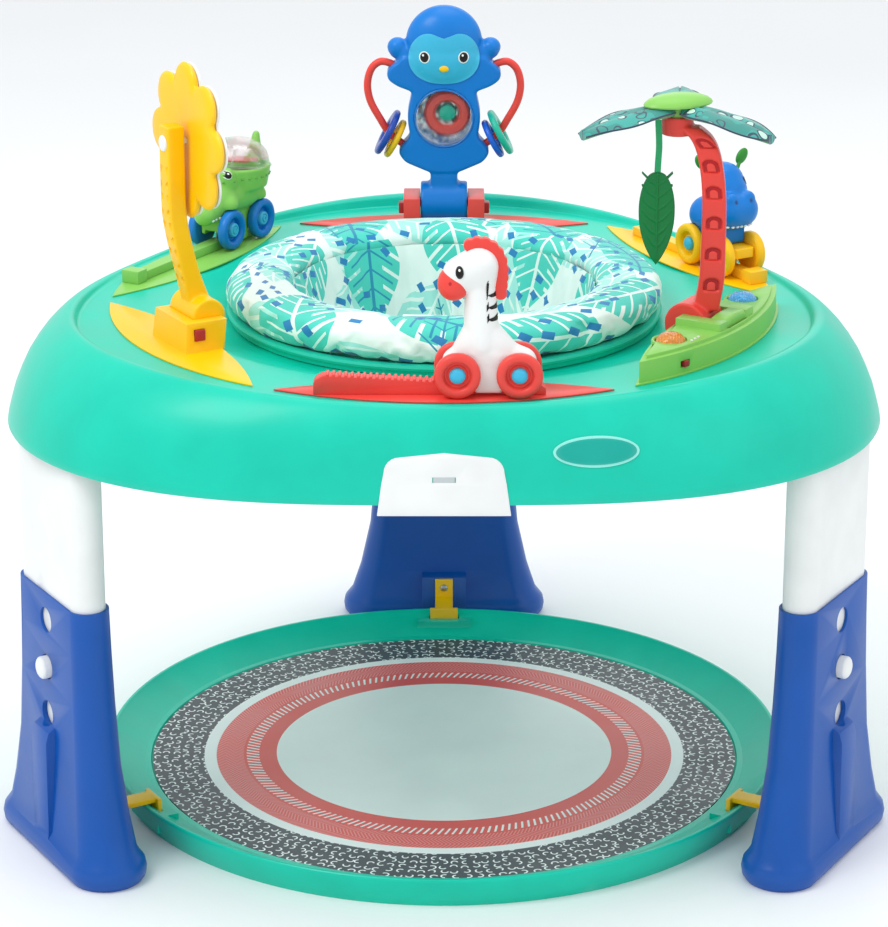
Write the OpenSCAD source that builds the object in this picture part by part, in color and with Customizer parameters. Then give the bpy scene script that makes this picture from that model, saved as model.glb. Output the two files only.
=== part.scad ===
// Round activity table with a turning seat, three height-adjustable legs, a foot tray
// and six toy stations. Millimetres, +Z up, origin at the centre of the foot tray's underside.

/* [Table] */
// Mean radius of the skirt's lower edge
skirt_r = 408; // [404:1:414]
// Share of its radius by which the skirt's lower edge is drawn out towards each leg
skirt_lobe = 0.097; // [0.08:0.001:0.098]
// Height of the toy deck above the floor
deck_z = 495.5; // [475:0.5:515]
// Height of the skirt, from its lower edge to the deck
skirt_h = 83.5; // [78:0.5:90]
// Wall thickness of the moulded shells
wall = 3; // [2.6:0.1:3.4]
// Width of the cover panel in the front of the skirt
cover_w = 120; // [100:1:130]

/* [Legs] */
// Width of a white leg post, along the table's edge
post_w = 142; // [130:1:146]
// Thickness of a white leg post, towards the seat
post_t = 34; // [32:0.5:36]
// Height of a leg's blue base
base_h = 270; // [262:1:285]
// Width of the foot flange of a leg base
foot_w = 231; // [210:1:240]
// Thickness of the foot flange of a leg base
foot_t = 77; // [70:1:84]
// Height of the middle button hole
hole_z = 195; // [190:1:200]
// Distance between button holes, which is one height step
hole_pitch = 48; // [42:1:50]
// Radius of a button hole in a leg base
hole_r = 12.5; // [12:0.1:13]

/* [Seat] */
// Radius of the hole in the table that the seat turns in
seat_bore_r = 185; // [180:1:187]
// Outer radius of the seat ring
seat_r = 212; // [206:1:216]
// Depth of the fabric sling below the deck
sling_depth = 155; // [130:1:165]

/* [Foot tray] */
// Outer radius of the foot tray's rim
tray_r = 346; // [336:1:350]
// Height of the foot tray's rim
tray_h = 31; // [28:0.5:31]
// Radius of the printed mat
mat_r = 301; // [285:1:302]

/* [Toys] */
// Distance from the seat axis to the middle of each toy track
track_r = 301; // [299:0.5:302]
// Radius of the toy cars' wheels
wheel_r = 21; // [20:0.5:21.5]
// Distance between the axles of a toy car
wheel_base = 56; // [54:0.5:60]
// Radius of the spinning flower
flower_r = 74; // [60:1:76]
// Height of the monkey's head above the deck
monkey_h = 238; // [234:1:242]
// Height of the palm's trunk above the deck
palm_h = 217; // [212:1:222]

/* [Clearances] */
// Radial running clearance of pins, axles and sliding buttons
run_gap = 0.08; // [0.04:0.01:0.1]
// Gap between moulded pieces that slot together
fit_gap = 0.4; // [0.3:0.05:0.5]

/* [Hidden] */
$fn = 64;
SOFT_FN = 28;         // facets of the spheres inside a hull
LEFT = 210;           // direction of each leg, in degrees from +X
RIGHT = 330;
REAR = 90;
ZEBRA_AT = 270;       // direction of each toy station
GATOR_AT = 150;
HIPPO_AT = 30;
MONKEY_AT = 90;
FLOWER_AT = 210;
PALM_AT = 330;

teal = [0.0, 0.78, 0.68];
leg_blue = [0.0, 0.33, 0.68];
white = [0.93, 0.93, 0.92];
yellow = [1.0, 0.80, 0.05];
coral = [0.91, 0.30, 0.27];
red = [0.70, 0.05, 0.10];
green = [0.52, 0.80, 0.36];
dark_green = [0.0, 0.52, 0.36];
toy_blue = [0.05, 0.48, 0.80];
sky = [0.25, 0.72, 0.84];

skirt_z = deck_z - skirt_h;
leg_r = skirt_r + 10;
button_r = hole_r - 1.5;
button_stroke = 14.5;
plate_z = deck_z + 1.8;           // top of the toy plates
axle_z = plate_z + 0.4 + wheel_r;
axle_r = 2.5;
wheel_w = 10;
car_half = 23.5;                  // from a car's middle to the outer face of its wheels
rail_half = 7;
seam = 0.05;                      // seam between pieces clipped together
plate_out = 330;                  // outer radius of the toy plates
plate_in = 262;                   // inner radius of the toy plates, at their middle
plate_inner_arc = 439;

// ---------- shared shapes ----------

// Closed skin over rings of points, each ring counter-clockwise and with the same count
module skin(rings) {
    n = len(rings[0]);
    last = len(rings) - 1;
    polyhedron(
        points = [for (ring = rings) each ring],
        faces = concat(
            [[for (i = [0:n - 1]) i]],
            [[for (i = [n - 1:-1:0]) last * n + i]],
            [for (k = [0:last - 1], i = [0:n - 1])
                [k * n + i, (k + 1) * n + i, (k + 1) * n + (i + 1) % n]],
            [for (k = [0:last - 1], i = [0:n - 1])
                [k * n + i, (k + 1) * n + (i + 1) % n, k * n + (i + 1) % n]]));
}

// Three-lobed ring: mean radius, lobe share, height and rise of the height towards the lobes
function lobed(a, e, z, rise = 0, n = 96) = [for (i = [0:n - 1])
    let (t = 360 * i / n, c = cos(3 * (t - REAR)), r = a * (1 + e * c)) [r * cos(t), r * sin(t), z + rise * c]];

// Stadium ring: thickness along X and width along Y
function stadium(t, w, z, n = 40) = [for (i = [0:n - 1])
    let (a = 360 * (i + 0.5) / n) [t / 2 * cos(a), (sin(a) > 0 ? 1 : -1) * (w - t) / 2 + t / 2 * sin(a), z]];

// Ring of a tube's section about a point, in the plane across the direction given
function tube_ring(p, dir, r, sides) = let (
    d = dir / norm(dir), side = cross(d, [0, 1, 0]) / norm(cross(d, [0, 1, 0])), up = cross(side, d))
    [for (i = [0:sides - 1]) p + r * (cos(360 * i / sides) * side + sin(360 * i / sides) * up)];

// Round tube along a list of points
module tube(path, r, sides = 10) {
    last = len(path) - 1;
    skin([for (i = [0:last])
        tube_ring(path[i], path[min(i + 1, last)] - path[max(i - 1, 0)], r, sides)]);
}

module flat_stadium(t, w) {
    square([t, w - t], center = true);
    for (s = [-1, 1]) translate([0, s * (w - t) / 2]) circle(t / 2);
}

module at(direction) rotate([0, 0, direction]) children();

// Frame of one leg: X outwards, Y along the table's edge, origin on the floor
module at_leg(direction) at(direction) translate([leg_r, 0, 0]) children();

// Frame of a toy car: X forwards, origin under the middle between its axles
module on_track(direction, turn, along) at(direction) translate([track_r, 0, 0]) rotate([0, 0, turn])
    translate([along, 0, 0]) children();

module lens_outline(inset = 0) {
    intersection() {
        circle(plate_out - inset, $fn = 180);
        translate([plate_in + plate_inner_arc, 0]) circle(plate_inner_arc - inset, $fn = 180);
    }
}

module toy_plate() translate([0, 0, deck_z]) linear_extrude(plate_z - deck_z) lens_outline(0.4);

module ball(p, r) translate(p) sphere(r, $fn = SOFT_FN);

// ---------- table ----------

// Outer skin of the table: mean radius, lobe share, height and rise towards the legs
function table_levels() = [
    [skirt_r, skirt_lobe, skirt_z, 0],
    [skirt_r - 3, skirt_lobe - 0.002, skirt_z + 18, 0],
    [skirt_r - 10, skirt_lobe - 0.009, skirt_z + 43, 0.6],
    [skirt_r - 21, skirt_lobe - 0.019, skirt_z + 66, 1.8],
    [skirt_r - 33, skirt_lobe - 0.029, skirt_z + 81, 3.4],
    [skirt_r - 40, skirt_lobe - 0.036, skirt_z + 87.5, 4.5],
    [skirt_r - 45, skirt_lobe - 0.039, skirt_z + 90.5, 5]];

module table_block(grow = 0) {
    levels = table_levels();
    top = levels[6];
    skin(concat(
        [lobed(levels[0][0] + grow, levels[0][1], levels[0][2] - 12)],
        [for (l = levels) lobed(l[0] + grow, l[1], l[2], l[3])],
        [lobed(60, 0, top[2] + 1)]));
}

module table_hollow() {
    levels = table_levels();
    skin(concat(
        [lobed(levels[0][0] - wall, levels[0][1], levels[0][2] - 14)],
        [for (i = [0:3]) lobed(levels[i][0] - wall, levels[i][1], levels[i][2] - 1, levels[i][3] / 2)],
        [lobed(levels[4][0] - wall - 2, levels[4][1], deck_z - wall)]));
}

// Outline of the cover panel, seen from the front, with height above the skirt's edge as Y
module cover_outline(grow = 0) {
    half = cover_w / 2 + grow;
    shoulder = half - 14;
    polygon(concat(
        [[-half, -9 - grow], [half, -9 - grow], [half - 4, 20]],
        [for (a = [0:15:90]) [shoulder - 6 + 14 * cos(a), 30 + (14 + grow) * sin(a)]],
        [[0, 48 + grow]],
        [for (a = [90:15:180]) [-shoulder + 6 + 14 * cos(a), 30 + (14 + grow) * sin(a)]],
        [[-half + 4, 20]]));
}

module cover_prism(grow = 0) translate([0, -300, skirt_z]) rotate([90, 0, 0])
    linear_extrude(140) cover_outline(grow);

// Socket under the skirt that holds the tenon of one post
tenon_t = 16;
tenon_w = 110;
tenon_x = -16;
tenon_top = skirt_z + 58;
post_top = skirt_z + 12;
module post_socket(direction) at_leg(direction) {
    difference() {
        translate([tenon_x, 0, post_top + 1]) linear_extrude(tenon_top - post_top + 2)
            flat_stadium(tenon_t + 6, tenon_w + 6);
        tenon_space();
    }
}
module tenon_space() translate([tenon_x, 0, post_top - 1]) linear_extrude(tenon_top - post_top + 1.3)
    flat_stadium(tenon_t + fit_gap, tenon_w + fit_gap);

dish_out = 268;
dish_z = deck_z - 13;
module table_top() color(teal) difference() {
    union() {
        difference() {
            table_block();
            table_hollow();
            translate([0, 0, skirt_z - 50]) cylinder(h = 50, r = skirt_r + 100);
            translate([0, 0, skirt_z - 1]) cylinder(h = skirt_h + 40, r = dish_out + 2, $fn = 180);
            skin([lobed(skirt_r - 55, 0.052, deck_z), lobed(skirt_r - 54, 0.052, deck_z + 30)]);
        }
        rotate_extrude($fn = 180) polygon([
            [seat_bore_r, dish_z - 18], [seat_bore_r, dish_z], [seat_r + 10, dish_z],
            [dish_out - 5, deck_z - 0.6], [dish_out, deck_z], [dish_out + 7, deck_z],
            [dish_out + 7, deck_z - wall], [dish_out - 3, deck_z - wall], [seat_r + 11, dish_z - wall],
            [seat_bore_r + wall, dish_z - wall], [seat_bore_r + wall, dish_z - 18]]);
        intersection() {
            for (direction = [LEFT, RIGHT, REAR]) post_socket(direction);
            table_block();
        }
    }
    cover_prism(0.3);
}

module front_cover() color(white) intersection() {
    cover_prism();
    difference() {
        table_block(1.5);
        table_block(-wall);
        at(ZEBRA_AT) translate([skirt_r * (1 - skirt_lobe) - 1.5, 0, skirt_z + 24])
            cube([8, 21, 5], center = true);
    }
}

// ---------- legs ----------

module leg_post(direction) color(white) at_leg(direction) {
    bottom = hole_z - hole_pitch - 37;
    difference() {
        union() {
            translate([0, 0, bottom]) linear_extrude(post_top - bottom) flat_stadium(post_t, post_w);
            translate([tenon_x, 0, post_top]) linear_extrude(tenon_top - post_top)
                flat_stadium(tenon_t, tenon_w);
        }
        translate([0, 0, bottom - 1]) linear_extrude(post_top - bottom + 1 - wall)
            flat_stadium(post_t - 2 * wall, post_w - 2 * wall);
        translate([tenon_x, 0, post_top + wall]) linear_extrude(tenon_top)
            flat_stadium(tenon_t - 2 * wall, tenon_w - 2 * wall);
        translate([0, 0, hole_z]) rotate([0, 90, 0]) cylinder(h = post_t, r = button_r + run_gap);
    }
}

module leg_base(direction) color(leg_blue) at_leg(direction) {
    top_t = post_t + 2 * wall;
    top_w = post_w + 2 * wall + 1;
    neck = hole_z - hole_pitch - 10;
    difference() {
        union() {
            skin([
                stadium(foot_t - 9, foot_w - 9, 0), stadium(foot_t - 2, foot_w - 2, 5),
                stadium(foot_t, foot_w, 12), stadium(foot_t - 3, foot_w - 3, 19),
                stadium(foot_t - 9, foot_w - 9, 23), stadium(foot_t - 16, foot_w - 20, 30),
                stadium(foot_t - 22, foot_w - 40, 60), stadium(top_t + 7, top_w + 20, 110),
                stadium(top_t + 3, top_w + 8, 175), stadium(top_t + 1, top_w + 3, 225),
                stadium(top_t, top_w, base_h)]);
            // raised rib below the lowest hole, running down to the flange
            rotate([90, 0, 0]) linear_extrude(34, center = true) polygon([
                [10, 2], [foot_t / 2 - 3, 14], [foot_t / 2 - 5, 30], [foot_t / 2 - 6, neck - 14],
                [foot_t / 2 - 9, neck - 4], [20, neck + 2], [10, neck + 2]]);
            // boss that the tray link is screwed to
            translate([-46, -25, 2]) cube([26, 50, 56]);
        }
        translate([0, 0, 50]) linear_extrude(base_h)
            flat_stadium(post_t + 2 * fit_gap, post_w + 2 * fit_gap);
        skin([stadium(foot_t - 14, foot_w - 14, -1), stadium(foot_t - 16, foot_w - 16, 16),
            stadium(foot_t - 24, foot_w - 30, 32), stadium(foot_t - 32, foot_w - 60, 46)]);
        for (i = [-1:1]) translate([10, 0, hole_z + i * hole_pitch]) rotate([0, 90, 0])
            cylinder(h = 40, r = hole_r);
        translate([foot_t / 2 + 2, 0, neck + 10]) sphere(16);
    }
}

// Snap button on the outer side of a post, with a flange that keeps it inside the post wall
button_tip = post_t / 2 + 14;
module height_button(direction) color(white) at_leg(direction) translate([0, 0, hole_z])
    rotate([0, 90, 0]) rotate_extrude() polygon(concat(
        [[0, post_t / 2 - wall - 3], [button_r + 2.5, post_t / 2 - wall - 3],
            [button_r + 2.5, post_t / 2 - wall], [button_r, post_t / 2 - wall], [button_r, button_tip - 5]],
        [for (a = [15:15:90]) [button_r * cos(a), button_tip - 5 + 5 * sin(a)]]));

spring_turns = 5;
spring_r = 7;
wire_r = 0.7;
module button_springs() color("silver") for (direction = [LEFT, RIGHT, REAR])
    at_leg(direction) translate([0, 0, hole_z]) {
        from = -post_t / 2 + wall + wire_r + 0.05;
        to = post_t / 2 - wall - 3 - wire_r - 0.05;
        steps = spring_turns * 10;
        tube([for (i = [0:steps]) let (a = 360 * spring_turns * i / steps)
            [from + (to - from) * i / steps, spring_r * cos(a), spring_r * sin(a)]], wire_r, 5);
    }

// ---------- foot tray ----------

tray_floor = 9.5;
module foot_tray() color(teal) difference() {
    union() {
        rotate_extrude($fn = 180) polygon([
            [0, 0], [30, 0], [30, tray_floor - wall], [mat_r + 4, tray_floor - wall],
            [tray_r - 11, 12], [tray_r - 12, 0], [tray_r - 9, 0], [tray_r, tray_h - 4],
            [tray_r, tray_h - 1], [tray_r - 1, tray_h], [tray_r - 3.5, tray_h],
            [tray_r - 5, tray_h - 1.5], [mat_r + 8, tray_floor + 2.5], [mat_r + 2, tray_floor + 2.5],
            [mat_r + 1, tray_floor], [0, tray_floor]]);
        for (r = [120, 210]) rotate_extrude($fn = 120) translate([r, 0]) square([wall, tray_floor - 1]);
        for (i = [0:11]) rotate([0, 0, 30 * i + 15]) translate([29, -wall / 2, 0])
            cube([mat_r - 31, wall, tray_floor - 1]);
        for (direction = [LEFT, RIGHT, REAR]) at(direction)
            translate([tray_r - 27, -30, tray_floor - 1]) cube([23, 60, tray_h - tray_floor - 5]);
    }
    for (direction = [LEFT, RIGHT, REAR]) at(direction)
        translate([tray_r - 17, -17, tray_floor + 2]) cube([6.2, 34, tray_h]);
}

module tray_mat() color(white) translate([0, 0, tray_floor]) cylinder(h = 1.5, r = mat_r, $fn = 180);

// Hooked straps that tie the tray's rim to the legs
module tray_links() color(yellow) for (direction = [LEFT, RIGHT, REAR]) at(direction) {
    boss = leg_r - 46;
    rotate([90, 0, 0]) linear_extrude(20, center = true) polygon([
        [tray_r - 16, tray_h + 0.5], [boss - 4, tray_h + 0.5], [boss, tray_h + 4],
        [boss, 57], [boss - 4, 57], [boss - 4, tray_h + 5.5], [tray_r - 16, tray_h + 5.5]]);
    rotate([90, 0, 0]) linear_extrude(31, center = true) polygon([
        [tray_r - 16.5, 14], [tray_r - 12, 14], [tray_r - 12, tray_h + 5.5], [tray_r - 16.5, tray_h + 5.5]]);
}

// ---------- seat ----------

collar_r = seat_bore_r - run_gap;
ring_top = dish_z + 8;
module seat_ring() color(teal) rotate_extrude($fn = 180) polygon([
    [collar_r - wall, dish_z - 27], [collar_r, dish_z - 27], [collar_r, dish_z + 0.4],
    [seat_r - 1, dish_z + 0.4], [seat_r, dish_z + 1.4], [seat_r, ring_top - 2], [seat_r - 2, ring_top],
    [collar_r - wall, ring_top]]);

module seat_retainer() color(white) rotate_extrude($fn = 180) polygon([
    [collar_r, dish_z - 25], [collar_r + 13, dish_z - 25], [collar_r + 13, dish_z - 21],
    [collar_r + 11, dish_z - 18.4], [collar_r, dish_z - 18.4]]);

cushion_in = 149;
cushion_top = deck_z + 31;
module seat_cushion() color([0.85, 0.97, 0.94]) {
    mid = (cushion_in + seat_r + 1) / 2;
    half = (seat_r + 1 - cushion_in) / 2;
    rotate_extrude($fn = 120) polygon([for (a = [-20:10:200])
        [mid + half * cos(a), max(ring_top + 0.1, cushion_top - 20 + 20 * sin(a))]]);
}

module seat_sling() color([0.75, 0.95, 0.90]) {
    top = deck_z + 12;
    low = deck_z - sling_depth;
    // each entry: radius of the outer side and height
    side = [[cushion_in - 0.3, top], [cushion_in - 6, top - 30], [cushion_in - 20, top - 75],
        [cushion_in - 42, top - 118], [cushion_in - 66, low + 12], [cushion_in - 95, low + 2]];
    difference() {
        rotate_extrude($fn = 96) polygon(concat(
            side, [[0, low]], [[0, low + 2.5]],
            [for (i = [5:-1:0]) side[i] + [-2.5, i == 0 ? 0 : 1.2]]));
        for (s = [-1, 1]) translate([0, 0, low + 42]) rotate([0, 0, ZEBRA_AT + s * 50])
            rotate([0, 118, 0]) translate([0, 0, 40]) cylinder(h = 160, r = 42);
    }
}

// ---------- toy cars ----------

// One wheel on the Y axis, its outer face at y = car_half
module wheel() rotate([-90, 0, 0]) rotate_extrude() polygon([
    [axle_r + run_gap, car_half - wheel_w], [wheel_r - 2, car_half - wheel_w],
    [wheel_r, car_half - wheel_w + 2], [wheel_r, car_half - 2.5], [wheel_r - 2.5, car_half],
    [wheel_r - 5, car_half], [wheel_r - 8.5, car_half - 4.5], [axle_r + run_gap, car_half - 4.5]]);

module wheel_pair(x) translate([x, 0, axle_z]) {
    wheel();
    mirror([0, 1, 0]) wheel();
}

// Two fixed axles with a mushroom hub cap on each end
module axle_set() for (x = [-1, 1] * wheel_base / 2) translate([x, 0, axle_z]) rotate([-90, 0, 0]) {
    cylinder(h = 2 * car_half - 4, r = axle_r, center = true);
    for (s = [-1, 1]) mirror([0, 0, s < 0 ? 1 : 0]) translate([0, 0, car_half - 4.2])
        cylinder(h = 3.2, r1 = 8.5, r2 = 6.5);
}

// Arches that keep a body clear of its wheels
module wheel_arches() for (x = [-1, 1] * wheel_base / 2, s = [-1, 1])
    translate([x, s * (chassis_half + 20.2), axle_z]) rotate([-90, 0, 0])
        cylinder(h = 40, r = wheel_r + 1.2, center = true);

module axle_holes() for (x = [-1, 1] * wheel_base / 2) translate([x, 0, axle_z]) rotate([-90, 0, 0])
    cylinder(h = 80, r = axle_r, center = true);

// Chassis block that straddles the rail
chassis_half = car_half - wheel_w - 0.5;
module chassis(length, top) translate([-length / 2, -chassis_half, plate_z + 4])
    cube([length, 2 * chassis_half, top - plate_z - 4]);
// Space for the rail, and the seam between a body and the two skirts clipped on below it
skirt_top = plate_z + 20;
module rail_space(length) {
    translate([-length / 2, -rail_half - 1.2, plate_z]) cube([length, 2 * rail_half + 2.4, skirt_top - plate_z]);
    translate([-length / 2, -40, skirt_top]) cube([length, 80, seam]);
}

// ---------- zebra ----------

zebra_rest = -40;
module on_zebra() on_track(ZEBRA_AT, -90, zebra_rest) children();

module zebra_track() color(coral) at(ZEBRA_AT) {
    toy_plate();
    // ramped rail with a toothed rack, from its low end to its blunt high end
    translate([track_r, 0, 0]) rotate([90, 0, 90]) linear_extrude(2 * rail_half, center = true)
        polygon(concat(
            [[92, plate_z + seam], [92, plate_z + 6], [84, plate_z + 11], [10, plate_z + 11]],
            [for (i = [0:20]) each let (t = 8 - 5.6 * i, z = plate_z + 11 + 0.33 * i)
                [[t, z + 1.6], [t - 2.6, z + 1.6], [t - 2.6, z], [t - 5.6, z]]],
            [[-116, plate_z + 14], [-118, plate_z + 10], [-118, plate_z + seam]]));
}

module zebra_head(grow = 0) hull() {
    ball([8, 0, axle_z + 98], 18 + grow);
    ball([25, 0, axle_z + 90], 15 + grow);
    ball([6, 0, axle_z + 84], 14 + grow);
}

module zebra_body() color(white) on_zebra() difference() {
    union() {
        hull() {
            ball([-30, 0, axle_z + 9], 13);
            ball([28, 0, axle_z + 11], 13);
            ball([6, 0, axle_z + 24], 14.5);
        }
        hull() {
            ball([6, 0, axle_z + 26], 16);
            ball([7, 0, axle_z + 78], 14);
        }
        zebra_head();
        chassis(80, axle_z + 8);
    }
    rail_space(120);
    axle_holes();
    wheel_arches();
}

module zebra_trim() color(coral) on_zebra() {
    difference() {
        ball([37, 0, axle_z + 82], 15.5);
        zebra_head(0.2);
    }
    difference() {
        union() for (i = [0:5]) translate([4 - 3.6 * i - (i > 2 ? 0 : 4 * (2 - i) / 3), 0, axle_z + 117 - 11 * i])
            rotate([90, 0, 0]) cylinder(h = 9, r = 7.5, center = true, $fn = 32);
        zebra_head(0.2);
        hull() {
            ball([6, 0, axle_z + 26], 16.2);
            ball([7, 0, axle_z + 78], 14.2);
        }
    }
}

// ---------- gator ----------

gator_rest = -76;
module on_gator() on_track(GATOR_AT, 90, gator_rest) children();
dome_z = axle_z + 60;
dome_x = -14;
dome_r = 32;

module gator_track() color(green) at(GATOR_AT) {
    toy_plate();
    translate([track_r - rail_half, -112, plate_z + seam]) cube([2 * rail_half, 206, 9]);
    translate([track_r - rail_half - 3, 94.1, plate_z + seam]) cube([2 * rail_half + 6, 16, 13]);
}

module gator_body() color(green) on_gator() difference() {
    union() {
        hull() {
            ball([dome_x, 0, axle_z + 36], 25);
            ball([16, 0, axle_z + 30], 22);
            ball([-30, 0, axle_z + 34], 20);
        }
        hull() {
            ball([26, 0, axle_z + 32], 20);
            ball([52, 0, axle_z + 20], 11);
        }
        for (s = [-1, 1]) ball([24, s * 10, axle_z + 58], 9);
        hull() {
            ball([-38, 0, axle_z + 34], 9);
            ball([-48, 0, axle_z + 88], 3.5);
        }
        translate([dome_x, 0, axle_z + 38]) cylinder(h = dome_z - axle_z - 38, r = dome_r + 2);
        chassis(84, axle_z + 16);
    }
    rail_space(160);
    axle_holes();
    wheel_arches();
    translate([dome_x, 0, axle_z + 52]) cylinder(h = 100, r = dome_r - 2);
    translate([dome_x, 0, dome_z]) cylinder(h = 60, r = dome_r + 0.3);
}

module gator_dome() color([0.85, 0.92, 0.92, 0.4]) on_gator() translate([dome_x, 0, dome_z + 0.05])
    rotate_extrude() difference() {
        intersection() {
            circle(dome_r - 0.2);
            square(dome_r);
        }
        circle(dome_r - 2.2);
    }

// ---------- hippo ----------

hippo_rest = 42;
module on_hippo() on_track(HIPPO_AT, -90, hippo_rest) children();
cart_top = axle_z + 9;

module hippo_track() color(yellow) at(HIPPO_AT) {
    toy_plate();
    translate([track_r - rail_half, -95.9, plate_z + seam]) cube([2 * rail_half, 206, 9]);
    translate([track_r - rail_half - 3, -112, plate_z + seam]) cube([2 * rail_half + 6, 16, 13]);
}

module hippo_cart() color(yellow) on_hippo() difference() {
    chassis(88, cart_top);
    rail_space(160);
    axle_holes();
}

module hippo_body() color(toy_blue) on_hippo() difference() {
    union() {
        hull() {
            ball([-16, 0, cart_top + 24], 22);
            ball([12, 0, cart_top + 22], 20);
        }
        hull() {
            ball([1, 0, cart_top + 58], 22);
            ball([2, 0, cart_top + 42], 22);
            ball([25, 0, cart_top + 36], 20);
        }
        translate([-40, -chassis_half, cart_top]) cube([70, 2 * chassis_half, 16]);
        for (s = [-1, 1]) ball([-1, s * 22, cart_top + 79], 7.5);
    }
    translate([-100, -100, cart_top - 40]) cube([200, 200, 40.05]);
    wheel_arches();
}

// ---------- monkey ----------

barrel_r = 22.5;
barrel_half = 25;
monkey_y = track_r - 9;
barrel_z = plate_z + barrel_r + 0.5;
monkey_thick = 30;
lens_r = 32;
head_z = deck_z + monkey_h - 39;
lens_z = head_z - 80;
module monkey_slab(thick) translate([0, monkey_y, 0]) rotate([90, 0, 0]) linear_extrude(thick, center = true)
    children();

module monkey_base() color(coral) {
    difference() {
        union() {
            at(MONKEY_AT) toy_plate();
            translate([-43, monkey_y - 24, deck_z + 0.5]) cube([86, 48, 33]);
        }
        translate([-barrel_half - 0.4, monkey_y - 40, plate_z]) cube([2 * barrel_half + 0.8, 80, 60]);
        for (s = [-1, 1]) translate([s * 40, monkey_y, deck_z + 19]) cube([12.2, 12.2, 12.2], center = true);
    }
    for (s = [-1, 1]) translate([s * (barrel_half + 1), monkey_y, barrel_z]) rotate([0, s * 90, 0])
        mirror([0, 0, 1]) cylinder(h = 5.5, r = 5);
}

// Arms, torso and hips, as X and height
module monkey_outline() polygon([
    [-14, barrel_z], [14, barrel_z], [14, lens_z - 58], [40, lens_z - 45], [48, lens_z - 36],
    [36, lens_z - 16], [36, lens_z + 30], [56, lens_z + 44], [56, lens_z + 60], [44, lens_z + 66],
    [-44, lens_z + 66], [-56, lens_z + 60], [-56, lens_z + 44], [-36, lens_z + 30],
    [-36, lens_z - 16], [-48, lens_z - 36], [-40, lens_z - 45], [-14, lens_z - 58]]);

module monkey_body() color(toy_blue) difference() {
    union() {
        translate([-barrel_half, monkey_y, barrel_z]) rotate([0, 90, 0])
            cylinder(h = 2 * barrel_half, r = barrel_r);
        monkey_slab(monkey_thick) monkey_outline();
        for (s = [-1, 1]) translate([s * 49, monkey_y, head_z - 6]) rotate([90, 0, 0])
            cylinder(h = 14, r = 13, center = true);
        intersection() {
            translate([0, monkey_y, head_z]) sphere(39);
            translate([-50, monkey_y - 22, head_z - 50]) cube([100, 44, 100]);
        }
    }
    for (s = [-1, 1]) translate([s * (barrel_half - 6), monkey_y, barrel_z]) rotate([0, s * 90, 0])
        cylinder(h = 10, r = 5 + run_gap);
    translate([0, monkey_y, lens_z]) rotate([90, 0, 0]) cylinder(h = 90, r = lens_r + 0.1, center = true);
    translate([0, monkey_y - 15, head_z - 10]) rotate([90, 0, 0]) cylinder(h = 30, r = 35);
}

module monkey_face() color(sky) translate([0, monkey_y - 15, head_z - 10]) rotate([90, 0, 0])
    cylinder(h = 9, r1 = 34.5, r2 = 28);

// Clear drum through the belly with a spinner inside it
module monkey_lens() color([0.85, 0.9, 0.92, 0.5]) translate([0, monkey_y, lens_z]) rotate([90, 0, 0])
    cylinder(h = monkey_thick + 4, r = lens_r, center = true);

loop_path = [[-50, 172], [-58, 176], [-68, 177], [-77, 169], [-81, 153], [-78, 135], [-68, 116],
    [-57, 99], [-40, 86]];     // handle route on the left: X, and height above the deck
loop_r = 4;
module monkey_loops() color(coral) for (s = [-1, 1]) mirror([s > 0 ? 1 : 0, 0, 0]) difference() {
    tube([for (p = loop_path) [p[0], monkey_y, deck_z + p[1]]], loop_r);
    monkey_slab(monkey_thick) monkey_outline();
}

// Two loose rings on the lower end of the left handle; the slope is that of the handle
ring_tilt = 62;
module ring_pair() for (ring = [[-60, 101, 26], [-52, 94, 22]])
    translate([ring[0], monkey_y, deck_z + ring[1]]) rotate([0, -ring_tilt, 0])
        rotate_extrude() polygon([
            [12, -2], [14, -3.2], [ring[2] - 2, -3.2], [ring[2], -1.5], [ring[2], 1.5],
            [ring[2] - 2, 3.2], [14, 3.2], [12, 2]]);
module monkey_rings_left() color(leg_blue) ring_pair();
module monkey_rings_right() color(teal) mirror([1, 0, 0]) ring_pair();

module monkey_latch(s) color(red) translate([s * 42.5, monkey_y, deck_z + 19])
    cube([12, 12, 12], center = true);

// ---------- flower ----------

hub_r = 270;                       // radius of the hub's axis from the seat axis
arm_r = 292;                       // radius of the upright part of the arm
flower_z = deck_z + 196;
arm_t = 18;
arm_w = 21;
module flower_base() color(yellow) at(FLOWER_AT) difference() {
    union() {
        toy_plate();
        skin([
            [for (p = [[302, -34], [302, 40], [262, 40], [262, -34]]) [p[0], p[1], deck_z + 1]],
            [for (p = [[300, -30], [300, 38], [258, 38], [258, -30]]) [p[0], p[1], deck_z + 30]]]);
    }
    translate([hub_r, 0, deck_z + 30]) rotate([90, 0, 0]) cylinder(h = 52.4, r = 17.3, center = true);
    translate([hub_r - 20, -26.2, deck_z + 30]) cube([60, 52.4, 30]);
    translate([hub_r + 17, 32, deck_z + 18]) cube([11.3, 30, 11.3], center = true);
}

module flower_arm() color(yellow) at(FLOWER_AT) difference() {
    union() {
        translate([hub_r, 0, deck_z + 30]) rotate([90, 0, 0]) cylinder(h = 52, r = 17, center = true);
        rotate([90, 0, 0]) linear_extrude(arm_w, center = true) polygon([
            [hub_r - 12, deck_z + 36], [hub_r + 10, deck_z + 34], [arm_r + arm_t / 2, deck_z + 124],
            [arm_r + arm_t / 2, flower_z + 8], [arm_r + 3, flower_z + 18], [arm_r - 3, flower_z + 18],
            [arm_r - arm_t / 2, flower_z + 8], [arm_r - arm_t / 2, deck_z + 128]]);
    }
    translate([arm_r, 0, flower_z]) rotate([0, 90, 0]) cylinder(h = 60, r = 6, center = true);
}

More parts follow.
